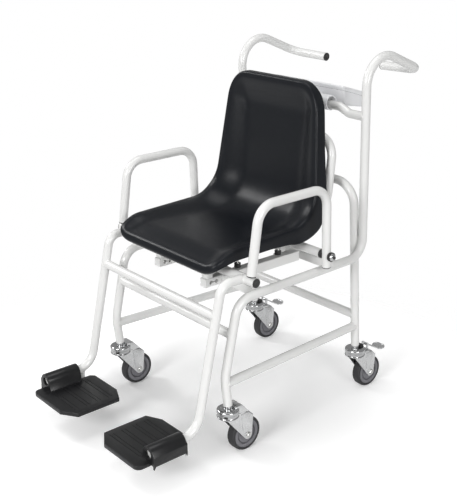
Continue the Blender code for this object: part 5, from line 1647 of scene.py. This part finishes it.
    def cheek_outline(self) -> list[Pair]:
        """Returns one cheek of the fork seen from the side, as (y, z) places."""
        front = (self.fork_front_y, (self.ring_foot_z + self.ring_split_z) / 2)
        near = (self.band_radius / 2, (self.ring_split_z + self.fork_knee[1]) / 2)
        return [front, *self.tip_arc(self.tip, self.tip_start), self.fork_rear, self.fork_knee, near]

    def raised_outline(self) -> list[Pair]:
        """Returns the rear part of a cheek, which is pressed out past a crease."""
        (rear_y, rear_z), (knee_y, knee_z) = self.fork_rear, self.fork_knee
        return [
            (self.crease_y, self.ring_foot_z + 0.002), (self.crease_y + 0.008, self.wheel_radius + 0.014),
            *self.tip_arc(self.tip - self.relief_inset, self.relief_start),
            (rear_y - 0.0012, rear_z - 0.0008), (knee_y - 0.0006, knee_z - 0.0014),
        ]

    def fork(self, braked: bool, collar_z: float) -> BMesh:
        """Draws the fork: two pressed cheeks and the hood that bridges them."""
        sunk = self.half_gap + self.sheet - self.relief_overlap
        parts = []
        for value in (1, -1):
            sheet = [(value * self.half_gap, y, z) for y, z in self.cheek_outline()]
            parts.append(plate(sheet, (value * self.sheet, 0, 0), self.sheet_edge, 1))
            relief = [(value * sunk, y, z) for y, z in self.raised_outline()]
            height = value * (self.raised + self.relief_overlap)
            parts.append(plate(relief, (height, 0, 0), self.relief_edge))
        parts.append(self.hood(braked, collar_z))
        return gathered([*parts, *self.ears()] if braked else parts)

    def ears(self) -> list[BMesh]:
        """Draws the two ears that hold the brake pedal, and the pin through them."""
        hinge_y, hinge_z = self.hinge
        near, far = self.ear_half_gap, self.ear_half_gap + self.ear_sheet
        parts = []
        for low_x, high_x in ((near, far), (-far, -near)):
            low = (low_x, hinge_y - self.ear_half, self.fork_knee[1])
            high = (high_x, hinge_y + self.ear_half, hinge_z + self.ear_half)
            parts.append(block(low, high, self.ear_edge))
        reach, head = far + self.pin_overhang, self.pin_head_radius
        neck = -reach + self.pin_head
        pin = [
            (0, -reach), (head, -reach), (head, neck), (self.pin_radius, neck), (self.pin_radius, reach),
            (0, reach),
        ]
        return [*parts, spun(pin, ACROSS, (0, hinge_y, hinge_z), steps=24, rounding=0.0003)]

    def hood(self, braked: bool, collar_z: float) -> BMesh:
        """Draws the sheet that bridges the cheeks, tall where there is no brake."""
        outer, sheet = self.half_gap + self.sheet, self.sheet
        (rear_y, rear_z), (knee_y, knee_z) = self.fork_rear, self.fork_knee
        near_y, split_z = self.band_radius / 2, self.ring_split_z
        crest_z = collar_z - self.hood_clearance
        outline = [
            (rear_y, rear_z), (rear_y - sheet / 2, rear_z - sheet / 2), (knee_y - sheet, knee_z - sheet),
            (near_y, split_z - sheet),
        ]
        if braked:
            outline += [(near_y, split_z), (knee_y, knee_z)]
        else:
            outline += [
                (self.hood_front_y, split_z - sheet), (self.hood_front_y, crest_z),
                (self.hood_crest_y, crest_z), self.hood_slope,
            ]
        rounding = self.low_hood_edge if braked else self.tall_hood_edge
        return plate([(-outer, y, z) for y, z in outline], (2 * outer, 0, 0), rounding, 3)

    def window(self) -> BMesh:
        """Draws the dark lock window in the front of the bearing's band."""
        way = Vector(self.window_way).normalized()
        side = Vector((-way.y, way.x, 0)) * self.window_half
        low_z, high_z = self.ring_foot_z + self.window_foot, self.ring_split_z - self.window_head
        near, far = way * (self.band_radius - self.window_sunk), way * (self.band_radius + self.window_proud)
        outline = [near - side, near + side, far + side, far - side]
        return plate([(spot.x, spot.y, low_z) for spot in outline], (0, 0, high_z - low_z), 0.0003, 1)

    def axle(self) -> BMesh:
        """Draws the axle bolt's hexagon head, its nut and their washers."""
        start = self.half_gap + self.sheet + self.raised
        turned = (
            (rod(self.nut_radius + 0.0016, -0.0006, 0.0009), 40, 0.0003),
            (rod(self.nut_radius, 0.0007, 0.0046), 6, 0.0005),
            (rod(0.0040, 0.0030, 0.0062), 32, 0.0007),
        )
        parts = []
        for value in (1, -1):
            spot = (value * start, self.trail, self.wheel_radius)
            for outline, steps, rounding in turned:
                parts.append(spun(outline, (value, 0, 0), spot, steps, rounding))
        shaft = rod(self.shaft_radius, -start, start)
        parts.append(spun(shaft, ACROSS, (0, self.trail, self.wheel_radius), steps=32))
        return gathered(parts)

    def tyre(self) -> BMesh:
        """Draws the tyre about the wheel's own middle."""
        half, low, high, shoulder = self.wheel_width / 2, self.tyre_inner, self.wheel_radius, self.shoulder
        outline = [
            (low, half - 0.0022), (low + 0.0016, half - 0.0003), (high - shoulder, half),
            (high - shoulder * 0.42, half - 0.0009), (high - shoulder * 0.10, half - 0.0035),
            (high, half - 0.0075),
        ]
        return spun(both_halves(outline), ACROSS, ORIGIN, steps=96, rounding=0.0004)

    def core(self) -> BMesh:
        """Draws the wheel's moulded core, with a ring groove on each face."""
        half, low, boss, boss_half = self.wheel_width / 2, self.tyre_inner, self.boss, self.boss_width / 2
        inner, outer = self.groove_radius - self.groove_width / 2, self.groove_radius + self.groove_width / 2
        floor = half - self.groove_depth
        outline = [
            (self.bore, boss_half), (boss, boss_half), (boss + 0.0006, half - 0.0038),
            (inner - 0.0004, half - 0.0028), (inner, floor), (outer, floor),
            (outer + 0.0004, half - 0.0010), (low - 0.0010, half - 0.0004), (low + 0.0008, half - 0.0016),
        ]
        return spun(both_halves(outline), ACROSS, ORIGIN, steps=96, rounding=0.0003)

    def leaf(
        self, shares: Sequence[Pair], length: float, half_width: float, slope: float, start: Pair
    ) -> BMesh:
        """Draws a pressed plate that runs to the rear, with a raised middle.

        Args:
            shares: The plate's width at each share of its length.
            length: The plate's length.
            half_width: Half its greatest width.
            slope: Its slope, up to the rear.
            start: The (y, z) place of its front end.

        Returns:
            The plate.
        """
        low = -self.pedal_thickness / 2
        left = [(width * half_width, along * length, low) for along, width in shares]
        bm = plate([*left, *[(-x, y, z) for x, y, z in reversed(left)]], (0, 0, -2 * low))
        step_in(bm, *self.leaf_rise)
        soften(bm, self.leaf_edge, 3)
        bmesh.ops.transform(bm, matrix=Matrix.Rotation(slope, 4, "X"), verts=bm.verts)
        return moved(bm, (0, *start))

    def build_pedal(self, side: Side, stem: Vector) -> None:
        """Builds one brake pedal on its hinge."""
        reach = self.arm_length - self.pedal_thickness / 2
        hinge_y, hinge_z = self.hinge
        pad_start = (hinge_y + reach * math.cos(self.arm_slope), hinge_z + reach * math.sin(self.arm_slope))
        half = self.arm_shares[0][1] * self.arm_half_width
        barrel = rod(self.barrel_radius, -half, half, bore=self.pin_hole)
        shape = gathered([
            self.leaf(self.arm_shares, self.arm_length, self.arm_half_width, self.arm_slope, self.hinge),
            self.leaf(self.pad_shares, self.pad_length, self.pad_half_width, self.pad_slope, pad_start),
            spun(barrel, ACROSS, (0, hinge_y, hinge_z), steps=32, rounding=0.0004),
        ])
        stand_in(f"brake_pedal_{side.label}", "plate", moved(shape, stem), ZINC, f"brake_{side.label}")


# The display head


@dataclass
class Display:
    """The display head: a sleeve on the cross tube, a two-part case, a window and keys."""

    middle: Pair = (0.23342, 0.8930)
    sleeve_radius: float = 0.0215
    sleeve_bore: float = 0.0180
    sleeve_half: float = 0.125
    half_width: float = 0.142
    top_front: Pair = (0.2625, 0.9405)
    top_rear: Pair = (0.3620, 0.9108)
    foot_rear: Pair = (0.3560, 0.8680)
    foot_front: Pair = (0.2735, 0.8810)
    rounding: float = 0.007
    lid_depth: float = 0.0125
    seam: float = 0.0005
    saddle_half_width: float = 0.060
    saddle_half_height: float = 0.017
    saddle_reach: float = 0.012
    gap: float = 0.0003
    window: Pair = (0.130, 0.040)
    window_middle: float = -0.018
    window_depth: float = 0.002
    glass: Pair = (0.104, 0.029)
    key: Pair = (0.026, 0.014)
    key_middle: float = 0.026
    key_pitch: float = 0.034
    key_height: float = 0.004
    key_proud: float = 0.0015
    key_well: float = 0.0045
    key_dish: tuple[Pair, ...] = ((0.0022, 0.0), (0.0016, -0.0004))
    key_edge: float = 0.0008
    # The black inside of the case, which paints the shade in the seam.
    core_shrink: float = 0.0012
    core_half_height: float = 0.003
    saddle_edge: float = 0.0035
    margin: float = 0.0005
    keys: tuple[str, ...] = ("units", "hold", "zero", "on")
    digits: int = 3
    digit: Pair = (0.0095, 0.0180)
    digit_pitch: float = 0.0145
    stroke: float = 0.0018
    stroke_end: float = 0.0003
    point_half: float = 0.0009
    mark_low: float = -0.0007
    mark_high: float = -0.00055
    glass_low: float = -0.0010
    glass_high: float = -0.0006

    def build(self) -> None:
        """Builds the display head and its keys."""
        outline = rod(self.sleeve_radius, -self.sleeve_half, self.sleeve_half, bore=self.sleeve_bore)
        sleeve = spun(outline, ACROSS, (0, *self.middle), steps=64, rounding=0.0009)
        stand_in("display_sleeve", "tube", sleeve, CASE, "display_head")
        piece("display_lid", self.lid(), CASE, "display_head", ("display_housing",))
        piece("display_tray", self.tray(), CASE, "display_head")
        # The black inside stands for the shade in the seam between lid and tray: painted shade.
        piece("display_seam", self.core(), PLASTIC, "display_head")
        self.build_window()
        self.build_keys()

    def panel(self) -> Matrix:
        """Returns the place of the sloping top face, with Z out of it."""
        front, rear = Vector(self.top_front), Vector(self.top_rear)
        slope = math.atan2(rear.y - front.y, rear.x - front.x)
        return Matrix.Translation((0, *((front + rear) / 2))) @ Matrix.Rotation(slope, 4, "X")

    def on_panel(self, shape: BMesh) -> BMesh:
        """Lays a shape that was drawn flat on the sloping top face."""
        bmesh.ops.transform(shape, matrix=self.panel(), verts=shape.verts)
        return shape

    def panel_block(self, middle: Pair, size: Pair, low: float, high: float, rounding: float = 0.0) -> BMesh:
        """Returns a block on the top face, between two heights out of it."""
        half_x, half_y = size[0] / 2, size[1] / 2
        near = (middle[0] - half_x, middle[1] - half_y, low)
        return self.on_panel(block(near, (middle[0] + half_x, middle[1] + half_y, high), rounding))

    def case(self, shrink: float = 0.0) -> BMesh:
        """Returns the whole case, or one that is smaller all round."""
        corners = [Vector(spot) for spot in (self.top_front, self.top_rear, self.foot_rear, self.foot_front)]
        middle = sum(corners, Vector((0, 0))) / len(corners)
        spots = [spot + (middle - spot).normalized() * (shrink * math.sqrt(2)) for spot in corners]
        half = self.half_width - shrink
        return plate([(-half, *spot) for spot in spots], (2 * half, 0, 0), self.rounding - shrink, 6)

    def split(self, keep_upper: bool) -> BMesh:
        """Returns the part of the case on one side of its seam, with a softened rim."""
        bm, panel = self.case(), self.panel()
        way = panel.to_3x3() @ Vector(UP)
        sign = 1 if keep_upper else -1
        place = panel @ Vector((0, 0, -self.lid_depth)) + way * (sign * self.seam / 2)
        rim = sliced(bm, place, way * -sign)
        bmesh.ops.recalc_face_normals(bm, faces=bm.faces)
        bevelled(bm, rim, self.seam, 2)
        return bm

    def lid(self) -> BMesh:
        """Draws the lid with the wells for the window and the keys."""
        well, hole = (tuple(length + 2 * self.margin for length in size) for size in (self.window, self.key))
        middle, depth = (0, self.window_middle), self.window_depth
        cuts = [self.panel_block(middle, well, -depth, depth, 0.0004)]
        for place in self.key_places():
            cuts.append(self.panel_block(place, hole, -self.key_well, self.key_well, 0.0006))
        return carved(self.split(True), cuts)

    def tray(self) -> BMesh:
        """Draws the tray with the saddle that grips the sleeve."""
        middle_y, middle_z = self.middle
        half_x, half_z = self.saddle_half_width, self.saddle_half_height
        low = (-half_x, middle_y, middle_z - half_z)
        high = (half_x, self.foot_front[0] + self.saddle_reach, middle_z + half_z)
        outline = rod(self.sleeve_radius + self.gap, -2 * self.sleeve_half, 2 * self.sleeve_half)
        hole = spun(outline, ACROSS, (0, *self.middle), steps=64)
        return carved(self.split(False), [hole], [block(low, high, self.saddle_edge, 3)])

    def core(self) -> BMesh:
        """Draws a black inside for the case, which shows in the seam alone as painted shade."""
        bm, panel = self.case(self.core_shrink), self.panel()
        for sign in (1, -1):
            place = panel @ Vector((0, 0, -self.lid_depth + sign * self.core_half_height))
            sliced(bm, place, panel.to_3x3() @ Vector((0, 0, sign)))
        return bm

    def key_places(self) -> list[Pair]:
        """Returns the middles of the keys on the top face."""
        first = -(len(self.keys) - 1) / 2
        return [((first + index) * self.key_pitch, self.key_middle) for index in range(len(self.keys))]

    def build_window(self) -> None:
        """Builds the window: a dark frame, the glass and the digits in it."""
        place, floor = (0, self.window_middle), self.gap - self.window_depth
        frame = self.panel_block(place, self.window, floor, -0.0001, 0.0003)
        opening = self.panel_block(place, self.glass, -0.0009, 0.001)
        piece("display_window_frame", carved(frame, [opening]), PANEL, "display_head", ("display_screen",))
        inner = tuple(length - self.gap for length in self.glass)
        glass = self.panel_block(place, inner, self.glass_low, self.glass_high, 0.0001)
        piece("display_glass", glass, LCD, "display_head")
        edge_x, half = self.glass[0] / 2, self.point_half
        marks = []
        for index in range(self.digits):
            marks += self.nought(edge_x - (index + 1) * self.digit_pitch, self.window_middle)
        point_x = edge_x - 1.5 * self.digit_pitch
        point_y = self.window_middle + self.digit[1] / 2 - self.stroke / 2
        low = (point_x - half, point_y - half, self.mark_low)
        marks.append(block(low, (point_x + half, point_y + half, self.mark_high)))
        piece("display_digits", self.on_panel(gathered(marks)), SEGMENT, "display_head")

    def nought(self, middle_x: float, middle_y: float) -> list[BMesh]:
        """Draws a nought from six strokes, as a segment display shows it."""
        reach_x, reach_y = ((length - self.stroke) / 2 for length in self.digit)
        strokes = []
        for sign in (1, -1):
            y = middle_y + sign * reach_y
            strokes.append(self.bar((middle_x - reach_x, y), (middle_x + reach_x, y)))
            for end in (1, -1):
                x = middle_x + sign * reach_x
                strokes.append(self.bar((x, middle_y), (x, middle_y + end * reach_y)))
        return strokes

    def bar(self, start: Pair, end: Pair) -> BMesh:
        """Draws one stroke with pointed ends."""
        way = (Vector(end) - Vector(start)).normalized()
        slope = way * (self.stroke / 2)
        side = Vector((-slope.y, slope.x))
        first, last = Vector(start) + way * self.stroke_end, Vector(end) - way * self.stroke_end
        outline = [
            first, first + slope + side, last - slope + side, last, last - slope - side, first + slope - side,
        ]
        height = self.mark_high - self.mark_low
        return plate([(spot.x, spot.y, self.mark_low) for spot in outline], (0, 0, height))

    def build_keys(self) -> None:
        """Builds the four rubber keys, with a shallow dish in each."""
        for name, (x, y) in zip(self.keys, self.key_places()):
            half_x, half_y = self.key[0] / 2, self.key[1] / 2
            low = (x - half_x, y - half_y, self.key_proud - self.key_height)
            bm = block(low, (x + half_x, y + half_y, self.key_proud))
            step_in(bm, *self.key_dish)
            bm.normal_update()
            soften(bm, self.key_edge, 3)
            piece(f"key_{name}_cap", self.on_panel(bm), KEY, f"key_{name}", (f"display_key_{name}",))


# The stage


@dataclass(frozen=True)
class Lamp:
    """A square soft lamp that looks at the chair."""

    name: str
    place: Triple
    size: float
    watts: float


@dataclass
class Stage:
    """The white floor, the lamps and the camera at the photograph's angle."""

    camera_place: Triple = (1.9068, -1.63375, 1.397)
    camera_turn: Triple = (69.888, 0.0, 49.344)
    lens: float = 65.79
    picture: tuple[int, int] = (457, 500)
    floor_reach: float = 12.0
    floor_colour: tuple[float, ...] = (0.98, 0.98, 0.98, 1)
    floor_spread: float = 0.004
    floor_mottle: float = 0.2
    floor_roughness: float = 0.6
    floor_specular: float = 0.15
    target: Triple = (0.0, 0.0, 0.5)
    lamps: tuple[Lamp, ...] = (
        Lamp("key_lamp", (0.9, -3.4, 1.8), 1.2, 74.0),
        Lamp("fill_lamp", (3.4, -0.6, 1.5), 1.2, 42.0),
        Lamp("top_lamp", (-0.3, 0.1, 3.2), 1.3, 16.0),
        Lamp("rim_lamp", (-2.45, -1.1, 2.3), 0.8, 26.0),
    )
    sky: float = 0.36
    mirrored_sky: float = 0.08
    mirrored_ground: float = 0.95
    mirrored_fall: Pair = (-0.30, 0.0)
    clearing: Pair = (0.55, 1.10)
    # The floor's glow to the camera is dimmer near the chair, as a painted shadow, and rises over these
    # distances.
    lifted: Pair = (0.22, 0.62)
    lift: Pair = (0.08, 0.32)

    def build(self) -> None:
        """Sets up the floor, the lamps, the sky and the camera."""
        bm = bmesh.new()
        bmesh.ops.create_circle(bm, cap_ends=True, radius=self.floor_reach, segments=96)
        mesh = mesh_of(bm, "floor")
        mesh.materials.append(self.floor_material())
        floor = in_scene("floor", mesh)
        for lamp in self.lamps:
            self.hang(lamp)
        self.light_sky()
        self.aim_camera()
        bpy.context.scene.view_settings.view_transform = "Standard"

    def hang(self, lamp: Lamp) -> None:
        """Hangs a lamp that looks at the chair."""
        data = bpy.data.lights.new(lamp.name, "AREA")
        data.size, data.energy = lamp.size, lamp.watts
        made = in_scene(lamp.name, data)
        made.location = lamp.place
        way = Vector(self.target) - Vector(lamp.place)
        made.rotation_euler = way.to_track_quat("-Z", "Y").to_euler()

    def floor_material(self) -> Material:
        """Returns a floor that keeps the shadows near the chair and clears to white beyond it, with a painted
        shadow: its glow to the camera is dimmer near the chair.
        """
        material = bpy.data.materials.new("white_floor")
        material.use_nodes = True
        wiring, nodes = Wiring(material.node_tree), material.node_tree.nodes
        distance = wiring.node("ShaderNodeVectorMath", wiring.place(1.0), operation="LENGTH").outputs["Value"]
        tone = Effect.MOTTLE.add_to(
            wiring, Colour=self.floor_colour, Spread=self.floor_spread, Size=self.floor_mottle
        )
        shader = nodes["Principled BSDF"]
        wiring.feed(shader, {
            "Base Color": tone.outputs["Colour"],
            "Roughness": self.floor_roughness,
            "Specular IOR Level": self.floor_specular,
        })
        share = wiring.ranged(distance, self.clearing, (0.0, 1.0), "SMOOTHSTEP")
        # Painted shadow: a glow seen by the camera alone, dimmer near the chair and brighter away from it.
        lift = wiring.ranged(distance, self.lifted, self.lift, "SMOOTHSTEP")
        lift = wiring.maths("MULTIPLY", lift, wiring.node("ShaderNodeLightPath").outputs["Is Camera Ray"])
        glow = wiring.node("ShaderNodeEmission", WHITE, lift)
        lit = wiring.node("ShaderNodeAddShader", shader.outputs[0], glow.outputs[0])
        clear = wiring.node("ShaderNodeBsdfTransparent", WHITE)
        mixed = wiring.node("ShaderNodeMixShader", share, lit.outputs[0], clear.outputs[0])
        wiring.feed(nodes["Material Output"], {"Surface": mixed.outputs[0]})
        return material

    def light_sky(self) -> None:
        """Lights the world, which is white to the camera and dark above to mirrors."""
        world = bpy.data.worlds.new("sky")
        world.use_nodes = True
        wiring = Wiring(world.node_tree)
        rays = wiring.node("ShaderNodeLightPath").outputs
        seen = wiring.maths("MAXIMUM", rays["Is Camera Ray"], rays["Is Transmission Ray"])
        looked = wiring.node("ShaderNodeTexCoord").outputs["Generated"]
        height = wiring.node("ShaderNodeSeparateXYZ", looked).outputs["Z"]
        around = wiring.ranged(height, self.mirrored_fall, (self.mirrored_ground, self.mirrored_sky))
        mirrored = wiring.maths("MULTIPLY", rays["Is Glossy Ray"], around)
        strength = wiring.maths("MAXIMUM", wiring.ranged(seen, (0.0, 1.0), (self.sky, 1.0)), mirrored)
        wiring.feed(world.node_tree.nodes["Background"], {"Color": WHITE, "Strength": strength})
        bpy.context.scene.world = world

    def aim_camera(self) -> None:
        """Stands the camera where the photograph was taken."""
        data = bpy.data.cameras.new("camera")
        data.lens = self.lens
        camera = in_scene("camera", data)
        camera.location = self.camera_place
        camera.rotation_euler = [math.radians(turn) for turn in self.camera_turn]
        scene = bpy.context.scene
        scene.camera = camera
        scene.render.resolution_x, scene.render.resolution_y = self.picture


REPAINTED = ("seat_rail", "front_load_bar", "rear_load_bar", "load_cell")


def clear_scene() -> None:
    """Removes the objects that Blender starts with."""
    for thing in list(bpy.data.objects):
        bpy.data.objects.remove(thing)


def main() -> None:
    """Builds the chair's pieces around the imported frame, and the stage."""
    logging.basicConfig(level=logging.INFO, format="%(name)s: %(message)s", stream=sys.stdout)
    clear_scene()
    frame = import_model()
    for maker in (WeldedFrame(), WeighedFrame(), Armrests(), SeatShell(), Footplates(), Castors(), Display()):
        maker.build()
    for node in frame["nodes"].values():
        if node.name.startswith(REPAINTED):
            repaint(node, ENAMEL)
    Stage().build()


if __name__ == "__main__":
    main()
